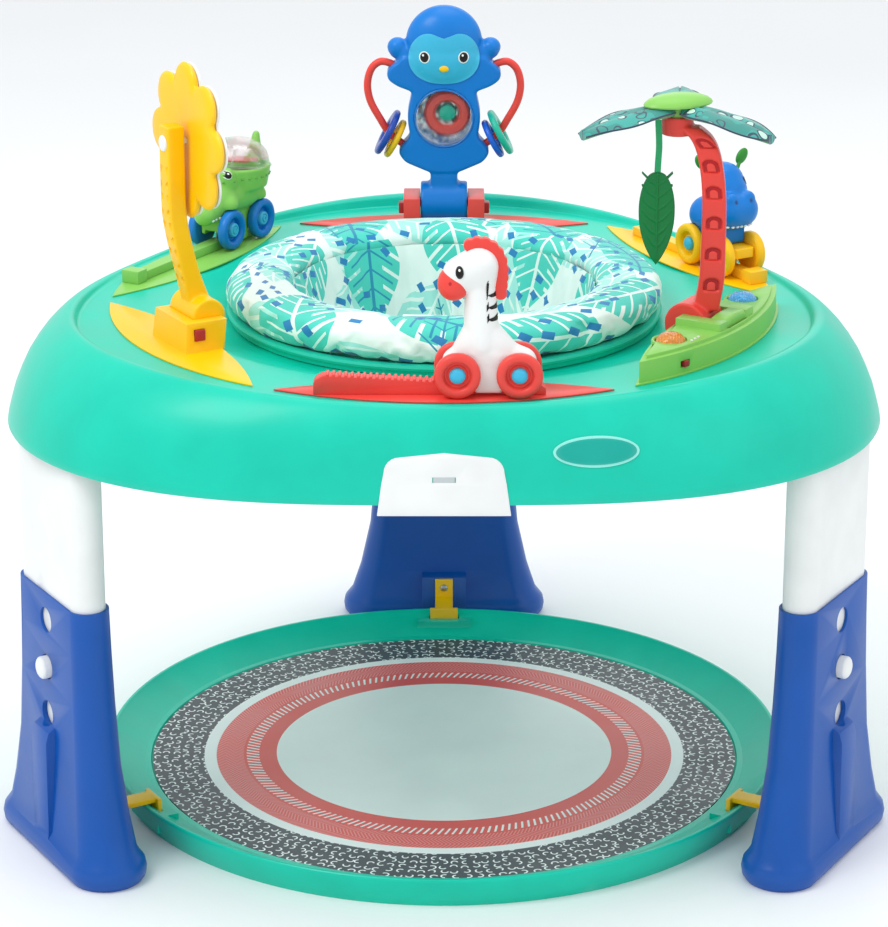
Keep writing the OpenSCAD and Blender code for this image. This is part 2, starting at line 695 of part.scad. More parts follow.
module flower_pin() color(white) at(FLOWER_AT) translate([0, 0, flower_z]) rotate([0, 90, 0])
    rotate_extrude() polygon([
        [0, arm_r - 20], [3.5, arm_r - 20], [3.5, arm_r - arm_t / 2], [6, arm_r - arm_t / 2],
        [6, arm_r + arm_t / 2], [8, arm_r + arm_t / 2], [7, arm_r + arm_t / 2 + 1.5],
        [0, arm_r + arm_t / 2 + 1.5]]);

// Petalled outline with eight lobes
module petals(r) {
    circle(0.76 * r);
    for (i = [0:7]) rotate([0, 0, 45 * i]) translate([0.72 * r, 0]) circle(0.28 * r, $fn = 32);
}

module flower_head() color(yellow) at(FLOWER_AT) translate([arm_r - 20, 0, flower_z]) rotate([0, 90, 0])
    difference() {
        linear_extrude(8) petals(flower_r);
        translate([0, 0, -1]) cylinder(h = 20, r = 3.5 + run_gap);
    }

module flower_face() color(white) at(FLOWER_AT) translate([arm_r - 22.5, 0, flower_z])
    rotate([0, 90, 0]) linear_extrude(2.4) petals(flower_r - 1);

module flower_latch() color(red) at(FLOWER_AT) translate([hub_r + 17, 35, deck_z + 18])
    cube([11, 12, 11], center = true);

// ---------- palm ----------

trunk_r = 290;
trunk_t = 20;
trunk_w = 24;
house_h = 24;
palm_top = deck_z + palm_h;
cap_r = 252;
leaf_z = palm_top + 9.7;
lamp_r = 15;
stem_r = 11.5;
switch_r = plate_out - 19;
switch_t = -96;

module palm_base() color(green) at(PALM_AT) difference() {
    union() {
        toy_plate();
        translate([0, 0, deck_z + 1]) linear_extrude(house_h - 3) lens_outline(3);
        translate([0, 0, deck_z + house_h - 3]) linear_extrude(4) lens_outline(8);
        translate([272, -36, deck_z + 2]) cube([46, 74, house_h + 6]);
    }
    for (s = [-1, 1]) translate([trunk_r - 2, s * 78, deck_z + house_h - 5])
        cylinder(h = 40, r = lamp_r + 0.2);
    translate([trunk_r - 16, 0, deck_z + 20]) rotate([90, 0, 0]) cylinder(h = 40.4, r = 22.2, center = true);
    translate([trunk_r - 60, -20.2, deck_z + 20]) cube([90, 40.4, 60]);
    translate([trunk_r + 8, -36, deck_z + 16]) cube([12.3, 30, 12.3], center = true);
    translate([switch_r, switch_t, deck_z + 10]) rotate([0, 0, -17]) cube([16, 12.3, 6.3], center = true);
}

module palm_lamps() color([1.0, 0.6, 0.1]) at(PALM_AT) for (s = [-1, 1])
    translate([trunk_r - 2, s * 78, deck_z + house_h - 5]) {
        cylinder(h = 6, r = lamp_r);
        translate([0, 0, 6]) cylinder(h = 5, r1 = lamp_r, r2 = lamp_r - 6);
    }

module palm_trunk() color(coral) at(PALM_AT) {
    difference() {
        union() {
            translate([trunk_r - 16, 0, deck_z + 20]) rotate([90, 0, 0]) cylinder(h = 40, r = 22, center = true);
            translate([trunk_r - 22, -17, deck_z + 30]) cube([36, 34, 14]);
        }
        translate([trunk_r - 60, -50, deck_z - 20]) cube([200, 100, 20 + plate_z - deck_z + 0.1]);
    }
    // each entry: distance from the seat axis and height above the deck
    spine = [[290, 38], [292, 87], [292, 132], [290, 160], [285, 184], [277, 199], [264, palm_h - 9]];
    difference() {
        union() {
            skin([for (p = spine) let (lean = max(0, p[1] - 180) / 1.1)
                [for (q = [[-1, -1], [1, -1], [1, 1], [-1, 1]])
                    [p[0] + q[0] * trunk_t / 2 * cos(lean), q[1] * (trunk_w - p[1] / 60) / 2,
                        deck_z + p[1] + q[0] * trunk_t / 2 * sin(lean)]]]);
            translate([cap_r, 0, palm_top - 18]) cylinder(h = 18, r = stem_r + 3.5);
        }
        translate([cap_r, 0, palm_top - 15]) cylinder(h = 30, r = stem_r);
    }
}

module palm_cap() color(green) at(PALM_AT) translate([cap_r, 0, leaf_z]) {
    cylinder(h = 5, r = 27);
    translate([0, 0, 5]) cylinder(h = 7, r1 = 27, r2 = 12);
    translate([0, 0, palm_top - 12 - leaf_z]) cylinder(h = leaf_z - palm_top + 12, r = stem_r);
}

// Three padded leaves round the cap's stem, each drooping towards its tip
leaf_turns = [-130, 0, 115];        // directions from outwards
leaf_length = 96;
module palm_leaves() color(dark_green) at(PALM_AT) translate([cap_r, 0, leaf_z]) difference() {
    union() {
        for (turn = leaf_turns) rotate([0, 0, turn]) skin([for (step = [0:6])
            let (s = 8 + (leaf_length - 8) * step / 6, half = 4 + 20 * pow(sin(18 + 150 * step / 6), 0.8),
                drop = -4.5 - 22 * pow(s / leaf_length, 2), thick = 4.2 - 0.4 * step)
            [for (a = [0:30:330]) [s + 0.1 * step, half * cos(a), drop + thick * sin(a)]]]);
        translate([0, 0, -9.6]) cylinder(h = 9.5, r = 20);
    }
    cylinder(h = 20, r = 28);
    translate([0, 0, -20]) cylinder(h = 30, r = stem_r + 0.2);
}

// Strap and leaf-shaped teether that hang free from an eye beside the cap
hang_r = 240;
hang_t = -16;
hang_z = leaf_z - 12.5;
module palm_teether() color(dark_green) at(PALM_AT) translate([hang_r, hang_t, hang_z])
    rotate([90, 0, -PALM_AT]) {
        cylinder(h = 6, r = 2, center = true);
        linear_extrude(3, center = true) polygon([[-1.8, 0], [1.8, 0], [3, -4], [3, -56], [-3, -56], [-3, -4]]);
        linear_extrude(6, center = true) polygon(concat(
            [[-3, -50], [3, -50]],
            [for (a = [60:-20:-60]) [-14 + 31 * cos(a), -92 + 44 * sin(a)]], [[0, -140]],
            [for (a = [-60:20:60]) [14 - 31 * cos(a), -92 + 44 * sin(a)]]));
    }

module palm_latch() color(red) at(PALM_AT) translate([trunk_r + 8, -34, deck_z + 16])
    cube([12, 12, 12], center = true);
module palm_switch() color(red) at(PALM_AT) translate([switch_r, switch_t, deck_z + 10])
    rotate([0, 0, -17]) cube([8, 6, 6], center = true);

// ---------- nodes ----------

table_top();
front_cover();
leg_post(LEFT);  // leg_post_left
leg_post(RIGHT);  // leg_post_right
leg_post(REAR);  // leg_post_rear
leg_base(LEFT);  // leg_base_left
leg_base(RIGHT);  // leg_base_right
leg_base(REAR);  // leg_base_rear
height_button(LEFT);  // height_button_left
height_button(RIGHT);  // height_button_right
height_button(REAR);  // height_button_rear
button_springs();
foot_tray();
tray_mat();
tray_links();
seat_ring();
seat_retainer();
seat_cushion();
seat_sling();
zebra_track();
zebra_body();
zebra_trim();
color(sky) on_zebra() axle_set();  // zebra_axles
color(coral) on_zebra() wheel_pair(wheel_base / 2);  // zebra_wheels_front
color(coral) on_zebra() wheel_pair(-wheel_base / 2);  // zebra_wheels_rear
gator_track();
gator_body();
gator_dome();
color(sky) on_gator() axle_set();  // gator_axles
color(toy_blue) on_gator() wheel_pair(wheel_base / 2);  // gator_wheels_front
color(toy_blue) on_gator() wheel_pair(-wheel_base / 2);  // gator_wheels_rear
hippo_track();
hippo_body();
hippo_cart();
color(sky) on_hippo() axle_set();  // hippo_axles
color(yellow) on_hippo() wheel_pair(wheel_base / 2);  // hippo_wheels_front
color(yellow) on_hippo() wheel_pair(-wheel_base / 2);  // hippo_wheels_rear
monkey_base();
monkey_body();
monkey_face();
monkey_lens();
monkey_loops();
monkey_rings_left();
monkey_rings_right();
monkey_latch(-1);  // monkey_latch_left
monkey_latch(1);  // monkey_latch_right
flower_base();
flower_arm();
flower_pin();
flower_head();
flower_face();
flower_latch();
palm_base();
palm_lamps();
palm_trunk();
palm_cap();
palm_leaves();
palm_teether();
palm_latch();
palm_switch();
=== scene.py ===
"""Looks of a round activity table for a baby: moulded table, legs and foot tray, a printed fabric
seat and six toy stations. Lengths are worked out in millimetres and turned to metres at the end."""
from math import atan2, cos, hypot, pi, radians, sin

import bmesh
import bpy
from bpy.props import FloatProperty, FloatVectorProperty, IntProperty, PointerProperty
from mathutils import Matrix, Vector, noise
from mathutils.bvhtree import BVHTree


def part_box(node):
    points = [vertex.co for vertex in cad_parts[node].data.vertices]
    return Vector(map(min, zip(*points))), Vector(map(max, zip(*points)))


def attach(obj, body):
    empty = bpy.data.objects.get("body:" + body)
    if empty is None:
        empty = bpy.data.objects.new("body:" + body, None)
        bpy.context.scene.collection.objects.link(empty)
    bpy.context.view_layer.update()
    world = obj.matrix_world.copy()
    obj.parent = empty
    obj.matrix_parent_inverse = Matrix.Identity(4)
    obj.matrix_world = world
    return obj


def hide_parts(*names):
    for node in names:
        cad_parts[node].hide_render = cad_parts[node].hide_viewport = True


bl_info = {
    "name": "Baby activity table",
    "version": (1, 0, 0),
    "blender": (4, 5, 0),
    "location": "3D View > Sidebar > Activity table",
    "description": "Models the table, the seat and the toys round the packed frame",
    "category": "Object",
}

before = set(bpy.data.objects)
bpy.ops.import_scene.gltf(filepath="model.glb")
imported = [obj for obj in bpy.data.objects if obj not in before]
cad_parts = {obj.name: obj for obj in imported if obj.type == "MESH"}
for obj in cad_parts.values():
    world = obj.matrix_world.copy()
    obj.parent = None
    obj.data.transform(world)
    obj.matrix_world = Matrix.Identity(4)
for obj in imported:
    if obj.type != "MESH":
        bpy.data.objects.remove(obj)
MM = 0.001
UP = Vector((0, 0, 1))


def span(node):
    """Lowest and highest corner of a CAD node, in millimetres"""
    low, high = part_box(node)
    return low / MM, high / MM


def middle(node):
    low, high = span(node)
    return (low + high) / 2


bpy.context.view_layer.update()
AXLE_Z = middle("zebra_axles").z
WHEEL_R = (span("zebra_wheels_front")[1].z - span("zebra_wheels_front")[0].z) / 2
PLATE_Z = AXLE_Z - WHEEL_R - 0.4
DECK_Z = PLATE_Z - 1.8
SEAT_R = span("seat_ring")[1].x
RING_TOP = span("seat_ring")[1].z
SKIRT_Z = DECK_Z - 83.5
ZEBRA_AT, GATOR_AT, HIPPO_AT, MONKEY_AT, FLOWER_AT, PALM_AT = 270, 150, 30, 90, 210, 330
LEG_AT = {"left": 210, "right": 330, "rear": 90}


def srgb(code):
    """Linear colour of an sRGB hex value"""
    parts = [int(code[i:i + 2], 16) / 255 for i in (0, 2, 4)]
    return [c / 12.92 if c <= 0.04045 else ((c + 0.055) / 1.055) ** 2.4 for c in parts]


# ---------------------------------------------------------------- sizes and colours

def colour(title, code, text):
    return FloatVectorProperty(name=title, description=text, subtype="COLOR", size=3, min=0, max=1,
                               default=srgb(code))


class MouldedColours(bpy.types.PropertyGroup):
    teal: colour("Teal", "00c4a8", "Colour of the table, seat ring and foot tray")
    leg_blue: colour("Leg blue", "0450a6", "Colour of the leg bases")
    white: colour("White", "e9ebe9", "Colour of the posts, the cover panel and the zebra")
    yellow: colour("Yellow", "ffc400", "Colour of the flower and of the hippo's cart")
    coral: colour("Coral", "e8453c", "Colour of the zebra's track, the monkey's base and the trunk")
    red: colour("Dark red", "a80a14", "Colour of the latches and the switch")
    green: colour("Green", "86c65a", "Colour of the crocodile and the palm's housing")
    toy_blue: colour("Toy blue", "0377cc", "Colour of the monkey, the hippo and the wheels")
    sky: colour("Sky blue", "3fb6dc", "Colour of the hubs and the monkey's face")


class FabricSettings(bpy.types.PropertyGroup):
    ground: colour("Ground", "e6f6ee", "Ground colour of the seat fabric")
    leaf: colour("Leaf", "46cfbd", "Colour of the printed leaves")
    pale_leaf: colour("Pale leaf", "a4e6da", "Colour of the paler printed leaves")
    ink: colour("Ink", "1a8fb0", "Colour of the drawn lines")
    chip: colour("Chips", "1c7fb8", "Colour of the small printed chips")
    leaf_size: FloatProperty(name="Leaf size", description="Distance between printed leaves",
                             default=0.105, min=0.04, max=0.2, unit="LENGTH")
    fold_depth: FloatProperty(name="Fold depth", description="Depth of the folds inside the seat",
                              default=0.009, min=0.0, max=0.02, unit="LENGTH")
    gathers: IntProperty(name="Gathers", description="Number of gathers round the seat's lower edge",
                         default=96, min=24, max=160)


class MatSettings(bpy.types.PropertyGroup):
    dark: colour("Outer ring", "45494f", "Colour of the mat's outer ring")
    coral: colour("Coral ring", "e8584f", "Colour of the mat's printed ring")
    pale: colour("Centre", "eef3f0", "Colour of the mat's centre")
    tick_pitch: FloatProperty(name="Tick pitch", description="Distance between two printed ticks",
                              default=0.0125, min=0.005, max=0.05, unit="LENGTH")


# ---------------------------------------------------------------- materials

def join(tree, made, inputs):
    """Links or sets inputs of a shader node; a node given as a value is linked by its first output"""
    for key, value in inputs.items():
        socket = made.inputs[key] if isinstance(key, str) else [s for s in made.inputs if s.enabled][key]
        if isinstance(value, bpy.types.Node):
            value = next(s for s in value.outputs if s.enabled)
        if isinstance(value, bpy.types.NodeSocket):
            tree.links.new(value, socket)
        elif socket.type == "RGBA":
            socket.default_value = (*tuple(value)[:3], 1)
        else:
            socket.default_value = value


def add(tree, kind, *values, **settings):
    """Adds one node with its settings and links. Values go to its inputs in order, or by name from a
    dictionary. A word in capitals is a Math node with that operation, and a Mix node mixes colours."""
    if kind.isupper():
        kind, settings = "ShaderNodeMath", {"operation": kind}
    if kind == "ShaderNodeMix":
        settings["data_type"] = "RGBA"
    made = tree.nodes.new(kind)
    for key, value in settings.items():
        setattr(made, key, value)
    if len(values) == 1 and isinstance(values[0], dict):
        join(tree, made, values[0])
    else:
        join(tree, made, dict(enumerate(values)))
    return made


def blank(name):
    """A new material's node tree, with an empty Principled shader linked to its output"""
    material = bpy.data.materials.new(name)
    material.use_nodes = True
    tree = material.node_tree
    tree.nodes.clear()
    shader = tree.nodes.new("ShaderNodeBsdfPrincipled")
    add(tree, "ShaderNodeOutputMaterial", {"Surface": shader})
    return material, tree, shader


def varied(tree, shader, base, point, rough, amount=0.05, cloud_mm=60):
    """Slow drift of colour and gloss over a part, with convex edges painted slightly paler as a painted
    highlight
    """
    cloud = add(tree, "ShaderNodeTexNoise", {"Vector": point, "Scale": 1000 / cloud_mm, "Detail": 3.0})
    tone = add(tree, "ShaderNodeMapRange",
               {0: cloud.outputs[0], 1: 0.3, 2: 0.7, 3: 1 - amount, 4: 1 + amount})
    drift = add(tree, "ShaderNodeHueSaturation", {"Value": tone.outputs[0],
                 "Color": base})
    # painted highlight: convex edges, found by pointiness, are mixed towards white
    edge = add(tree, "ShaderNodeMapRange", {0: add(tree, "ShaderNodeNewGeometry").outputs["Pointiness"],
                1: 0.53, 2: 0.66, 3: 0.0, 4: 0.07})
    join(tree, shader, {"Base Color": add(tree, "ShaderNodeMix", edge.outputs[0], drift.outputs[0],
                                          (1, 1, 1))})
    gloss = add(tree, "ShaderNodeMapRange",
                {0: cloud.outputs[0], 1: 0.3, 2: 0.7, 3: rough * 0.85, 4: rough * 1.2})
    join(tree, shader, {"Roughness": gloss.outputs[0]})


def grain(tree, shader, point, size_mm, height_mm, strength=0.35):
    """Fine surface grain of a mould, as bump"""
    fine = add(tree, "ShaderNodeTexNoise", {"Vector": point, "Scale": 1000 / size_mm, "Detail": 2.0})
    bump = add(tree, "ShaderNodeBump", {"Height": fine.outputs[0], "Distance": height_mm * MM,
                                         "Strength": strength})
    join(tree, shader, {"Normal": bump.outputs[0]})


def moulded(name, base, rough=0.34, coat=0.05, grain_mm=1.4):
    """Injection-moulded ABS or polypropylene: satin, with a fine spark-eroded grain"""
    material, tree, shader = blank(name)
    point = add(tree, "ShaderNodeTexCoord").outputs["Object"]
    varied(tree, shader, base, point, rough)
    grain(tree, shader, point, grain_mm, 0.05)
    shader.inputs["IOR"].default_value = 1.5
    shader.inputs["Specular IOR Level"].default_value = 0.3
    shader.inputs["Coat Weight"].default_value = coat
    shader.inputs["Coat Roughness"].default_value = 0.15
    return material


def clear_plastic(name, tint, rough=0.04):
    """Clear moulded polystyrene: glossy and colourless, with soft waves from the mould"""
    material, tree, shader = blank(name)
    point = add(tree, "ShaderNodeTexCoord").outputs["Object"]
    wave = add(tree, "ShaderNodeTexNoise", {"Vector": point, "Scale": 60.0, "Detail": 1.0})
    bump = add(tree, "ShaderNodeBump", {"Height": wave.outputs[0], "Distance": 0.0004, "Strength": 0.3})
    join(tree, shader, {"Normal": bump.outputs[0]})
    shader.inputs["Base Color"].default_value = (*tint, 1)
    shader.inputs["Roughness"].default_value = rough
    shader.inputs["IOR"].default_value = 1.45
    shader.inputs["Transmission Weight"].default_value = 1.0
    shader.inputs["Alpha"].default_value = 0.45
    return material


def lens_plastic(name, tint, rows=260.0):
    """Translucent moulded lamp cover with a criss-cross of fine prisms"""
    material, tree, shader = blank(name)
    point = add(tree, "ShaderNodeTexCoord").outputs["Object"]
    turned = add(tree, "ShaderNodeMapping", {"Vector": point, "Rotation": (0, 0, 0.8)}).outputs[0]
    split = add(tree, "ShaderNodeSeparateXYZ", {0: turned})
    waves = [add(tree, "SINE", add(tree, "MULTIPLY", split.outputs[i], rows * 2 * pi)) for i in (0, 1)]
    height = add(tree, "MULTIPLY", waves[0], waves[1])
    bump = add(tree, "ShaderNodeBump", {"Height": height, "Distance": 0.0006, "Strength": 0.8})
    join(tree, shader, {"Normal": bump.outputs[0]})
    varied(tree, shader, tint, point, 0.14, 0.12, 8)
    shader.inputs["Transmission Weight"].default_value = 0.25
    shader.inputs["IOR"].default_value = 1.5
    shader.inputs["Coat Weight"].default_value = 0.6
    return material


def gloss_print(name, base):
    """Pad-printed glossy ink for eyes and stripes"""
    material, tree, shader = blank(name)
    point = add(tree, "ShaderNodeTexCoord").outputs["Object"]
    varied(tree, shader, base, point, 0.25, 0.03, 5)
    shader.inputs["Specular IOR Level"].default_value = 0.25
    shader.inputs["Coat Weight"].default_value = 0.1
    return material


def leaf_cell(tree, place, pitch, turn_by, length, width, lean=0.0):
    """Local place on a scattered leaf: distance along it, across it, and a number of its own"""
    cells = add(tree, "ShaderNodeTexVoronoi", {"Vector": place, "Scale": 1 / pitch, "Randomness": 0.55},
                 voronoi_dimensions="2D")
    centre = add(tree, "ShaderNodeVectorMath", {0: cells.outputs["Position"], 1: (0, 0, 0)}, operation="ADD")
    local = add(tree, "ShaderNodeVectorMath", {0: place, 1: centre.outputs[0]}, operation="SUBTRACT")
    own = add(tree, "ShaderNodeSeparateColor", {0: cells.outputs["Color"]})
    angle = add(tree, "MULTIPLY_ADD", own.outputs[0], turn_by, lean)
    turned = add(tree, "ShaderNodeVectorRotate", {"Vector": local.outputs[0], "Angle": angle},
                  rotation_type="Z_AXIS")
    split = add(tree, "ShaderNodeSeparateXYZ", {0: turned.outputs[0]})
    return (add(tree, "DIVIDE", split.outputs[0], length), add(tree, "DIVIDE", split.outputs[1], width),
            own.outputs[1])


def leaf_masks(tree, along, across, cuts, vein=0.05):
    """Masks of a leaf's body, with slits at its edge, and of its veins"""
    side = add(tree, "ABSOLUTE", across)
    # outline: wide near the stem, narrowing to the tip
    shifted = add(tree, "MULTIPLY_ADD", along, 0.5, 0.5)
    arch = add(tree, "SINE", add(tree, "MULTIPLY",
                                 add(tree, "POWER", add(tree, "MAXIMUM", shifted, 0.0), 0.8), pi))
    inside = add(tree, "MULTIPLY", add(tree, "LESS_THAN", side, arch),
                   add(tree, "LESS_THAN", add(tree, "ABSOLUTE", along), 1.0))
    rib = add(tree, "FRACT", add(tree, "MULTIPLY_ADD", along, cuts, add(tree, "MULTIPLY", side, -1.1)))
    slit = add(tree, "MULTIPLY", add(tree, "LESS_THAN", rib, 0.22), add(tree, "GREATER_THAN", side, 0.42))
    body = add(tree, "MULTIPLY", inside, add(tree, "SUBTRACT", 1.0, slit))
    mid = add(tree, "LESS_THAN", side, vein)
    middle_of = add(tree, "ABSOLUTE", add(tree, "SUBTRACT", rib, 0.62))
    ribs = add(tree, "MULTIPLY", add(tree, "LESS_THAN", middle_of, vein * 1.2),
                 add(tree, "LESS_THAN", side, 0.75))
    veins = add(tree, "MULTIPLY", add(tree, "MAXIMUM", mid, ribs), inside)
    return body, veins


def weave(tree, shader, place, pitch_mm, depth_mm):
    """Plain weave bump; the real threads are 0.3 mm, drawn coarser so that they show"""
    split = add(tree, "ShaderNodeSeparateXYZ", {0: place})
    turns = 2 * pi * 1000 / pitch_mm
    warp = add(tree, "SINE", add(tree, "MULTIPLY", split.outputs[0], turns))
    weft = add(tree, "SINE", add(tree, "MULTIPLY", split.outputs[1], turns))
    cloud = add(tree, "ShaderNodeTexNoise", {"Vector": place, "Scale": 45.0, "Detail": 4.0})
    height = add(tree, "ADD", add(tree, "MULTIPLY", warp, weft),
                   add(tree, "MULTIPLY", cloud.outputs[0], 6.0))
    bump = add(tree, "ShaderNodeBump", {"Height": height, "Distance": depth_mm * MM, "Strength": 0.5})
    join(tree, shader, {"Normal": bump.outputs[0]})


def printed_fabric(name, settings):
    """Polyester microfibre, woven and printed: soft sheen, fine plain weave, pale tropical leaves"""
    material, tree, shader = blank(name)
    place = add(tree, "ShaderNodeUVMap", uv_map="print").outputs[0]
    moved = add(tree, "ShaderNodeMapping", {"Vector": place, "Location": (0.31, 0.17, 0)}).outputs[0]
    third = add(tree, "ShaderNodeMapping", {"Vector": place, "Location": (0.77, 0.49, 0)}).outputs[0]
    pitch = settings.leaf_size
    base = settings.ground
    # pale leaves beneath, then strong leaves, then drawn leaves and small chips
    along, across, own = leaf_cell(tree, moved, pitch * 1.05, 6.2, pitch * 0.62, pitch * 0.34)
    body, veins = leaf_masks(tree, along, across, 2.6)
    base = add(tree, "ShaderNodeMix", body, base, settings.pale_leaf)
    base = add(tree, "ShaderNodeMix", add(tree, "MULTIPLY", veins, body), base, settings.ground)
    along, across, own = leaf_cell(tree, place, pitch, 6.2, pitch * 0.6, pitch * 0.36, 0.9)
    body, veins = leaf_masks(tree, along, across, 3.0)
    base = add(tree, "ShaderNodeMix", body, base, settings.leaf)
    dark = add(tree, "ShaderNodeMix", add(tree, "GREATER_THAN", own, 0.5), settings.ground, settings.ink)
    base = add(tree, "ShaderNodeMix", add(tree, "MULTIPLY", veins, body), base, dark)
    along, across, own = leaf_cell(tree, third, pitch * 1.5, 6.2, pitch * 0.5, pitch * 0.24, 2.0)
    body, veins = leaf_masks(tree, along, across, 2.2, 0.035)
    base = add(tree, "ShaderNodeMix", add(tree, "MULTIPLY", veins, add(tree, "GREATER_THAN", own, 0.35)),
               base, settings.ink)
    along, across, own = leaf_cell(tree, moved, pitch * 0.2, 1.2, 0.0052, 0.0036)
    chip = add(tree, "MULTIPLY", add(tree, "LESS_THAN", add(tree, "ABSOLUTE", along), 1.0),
                 add(tree, "LESS_THAN", add(tree, "ABSOLUTE", across), 1.0))
    base = add(tree, "ShaderNodeMix", add(tree, "MULTIPLY", chip, add(tree, "GREATER_THAN", own, 0.5)),
               base, settings.chip)
    varied(tree, shader, base, add(tree, "ShaderNodeTexCoord").outputs["Object"], 0.72, 0.04, 40)
    weave(tree, shader, place, 1.2, 0.16)
    shader.inputs["Sheen Weight"].default_value = 0.35
    shader.inputs["Sheen Roughness"].default_value = 0.4
    return material


def leaf_print(name, ground, outline, drop):
    """Printed satin of the stuffed palm leaves: dark looped outlines and pale drops"""
    material, tree, shader = blank(name)
    place = add(tree, "ShaderNodeUVMap", uv_map="print").outputs[0]
    cloud = add(tree, "ShaderNodeTexNoise", {"Vector": place, "Scale": 40.0, "Detail": 1.0})
    warped = add(tree, "ShaderNodeVectorMath", {0: place, 1: add(tree, "ShaderNodeVectorMath",
                  {0: cloud.outputs["Color"], 1: 0.018}, operation="SCALE").outputs[0]}, operation="ADD")
    cells = add(tree, "ShaderNodeTexVoronoi",
                {"Vector": warped.outputs[0], "Scale": 70.0, "Randomness": 0.9},
                 voronoi_dimensions="2D")
    own = add(tree, "ShaderNodeSeparateColor", {0: cells.outputs["Color"]}).outputs[0]
    near = cells.outputs["Distance"]
    ring = add(tree, "MULTIPLY", add(tree, "LESS_THAN",
                                     add(tree, "ABSOLUTE", add(tree, "SUBTRACT", near, 0.3)), 0.055),
                 add(tree, "GREATER_THAN", own, 0.45))
    middle_drop = add(tree, "MULTIPLY", add(tree, "LESS_THAN", near, 0.25),
                      add(tree, "GREATER_THAN", own, 0.7))
    base = add(tree, "ShaderNodeMix", add(tree, "GREATER_THAN", cloud.outputs[0], 0.5), ground,
               [c * 0.72 for c in ground])
    base = add(tree, "ShaderNodeMix", middle_drop, base, drop)
    base = add(tree, "ShaderNodeMix", ring, base, outline)
    split = add(tree, "ShaderNodeSeparateXYZ", {0: place})
    rib = add(tree, "LESS_THAN", add(tree, "ABSOLUTE", split.outputs[1]), 0.0008)
    base = add(tree, "ShaderNodeMix", rib, base, outline)
    varied(tree, shader, base, add(tree, "ShaderNodeTexCoord").outputs["Object"], 0.55, 0.06, 20)
    weave(tree, shader, place, 0.9, 0.1)
    shader.inputs["Sheen Weight"].default_value = 0.4
    return material


def mat_print(name, settings, outer_r):
    """Printed vinyl mat: rings of open loops, plain white, coral with slanted ticks, and a pale centre"""
    material, tree, shader = blank(name)
    point = add(tree, "ShaderNodeTexCoord").outputs["Object"]
    split = add(tree, "ShaderNodeSeparateXYZ", {0: point})
    radius = add(tree, "SQRT", add(tree, "ADD", add(tree, "POWER", split.outputs[0], 2.0),
                                       add(tree, "POWER", split.outputs[1], 2.0)))
    turn = add(tree, "ARCTAN2", split.outputs[1], split.outputs[0])

    def band(low, high):
        return add(tree, "MULTIPLY", add(tree, "GREATER_THAN", radius, low),
                   add(tree, "LESS_THAN", radius, high))

    def ticks(at_r, pitch, slant, share):
        count = round(2 * pi * at_r / pitch)
        phase = add(tree, "MULTIPLY_ADD", turn, count / (2 * pi), add(tree, "MULTIPLY", radius, slant))
        return add(tree, "LESS_THAN", add(tree, "FRACT", phase), share)

    white = srgb("f4f6f4")
    base = add(tree, "ShaderNodeMix", band(0.248, outer_r), settings.pale, settings.dark)
    # small open rings, each turned its own way
    flat = add(tree, "ShaderNodeCombineXYZ", {0: add(tree, "MULTIPLY", turn, 0.272), 1: radius}).outputs[0]
    cells = add(tree, "ShaderNodeTexVoronoi", {"Vector": flat, "Scale": 98.0, "Randomness": 0.3},
                voronoi_dimensions="2D")
    local = add(tree, "ShaderNodeVectorMath", {0: flat, 1: cells.outputs["Position"]},
                operation="SUBTRACT").outputs[0]
    offset = add(tree, "ShaderNodeSeparateXYZ", {0: local})
    own = add(tree, "ShaderNodeSeparateColor", {0: cells.outputs["Color"]}).outputs[0]
    facing_way = add(tree, "ADD", add(tree, "ARCTAN2", offset.outputs[1], offset.outputs[0]),
                     add(tree, "MULTIPLY", own, 40.0))
    loop = add(tree, "MULTIPLY", add(tree, "LESS_THAN", add(tree, "ABSOLUTE", add(tree, "SUBTRACT",
               cells.outputs["Distance"], 0.3)), 0.075),
               add(tree, "LESS_THAN", add(tree, "COSINE", facing_way), 0.3))
    base = add(tree, "ShaderNodeMix", add(tree, "MULTIPLY", loop, band(0.248, outer_r)), base, white)
    base = add(tree, "ShaderNodeMix", band(0.2355, 0.248), base, white)
    base = add(tree, "ShaderNodeMix", band(0.1734, 0.2355), base, settings.coral)
    woven = [c + (1 - c) * 0.22 for c in settings.coral]
    for low, high, slant in ((0.2075, 0.2165, 95.0), (0.2165, 0.226, -95.0), (0.226, 0.2355, 95.0)):
        mark = add(tree, "MULTIPLY", ticks(0.22, settings.tick_pitch * 0.32, slant * 2, 0.36),
                   band(low, high))
        base = add(tree, "ShaderNodeMix", mark, base, woven)
    mark = add(tree, "MULTIPLY", ticks(0.198, settings.tick_pitch * 0.55, 60.0, 0.34), band(0.1915, 0.2045))
    base = add(tree, "ShaderNodeMix", mark, base, white)
    varied(tree, shader, base, point, 0.42, 0.03, 80)
    grain(tree, shader, point, 0.8, 0.04)
    return material


def mesh_tray(name, base):
    """Moulded grille: square holes 2.2 mm apart, drawn as dark squares of painted shade"""
    material, tree, shader = blank(name)
    point = add(tree, "ShaderNodeTexCoord").outputs["Object"]
    split = add(tree, "ShaderNodeSeparateXYZ", {0: add(tree, "ShaderNodeMapping",
                 {"Vector": point, "Rotation": (0, 0, 1.05)}).outputs[0]})
    cells = [add(tree, "LESS_THAN", add(tree, "FRACT", add(tree, "MULTIPLY", split.outputs[i], 1000 / 2.6)),
                 0.5)
             for i in (0, 1)]
    # painted shade: the holes are not cut, each one is a square darkened to a quarter of the colour
    tone = add(tree, "ShaderNodeMix", add(tree, "MULTIPLY", cells[0], cells[1]), base,
               [c * 0.25 for c in base])
    varied(tree, shader, tone, point, 0.4, 0.04, 10)
    grain(tree, shader, point, 1.0, 0.05)
    return material


# ---------------------------------------------------------------- modelling

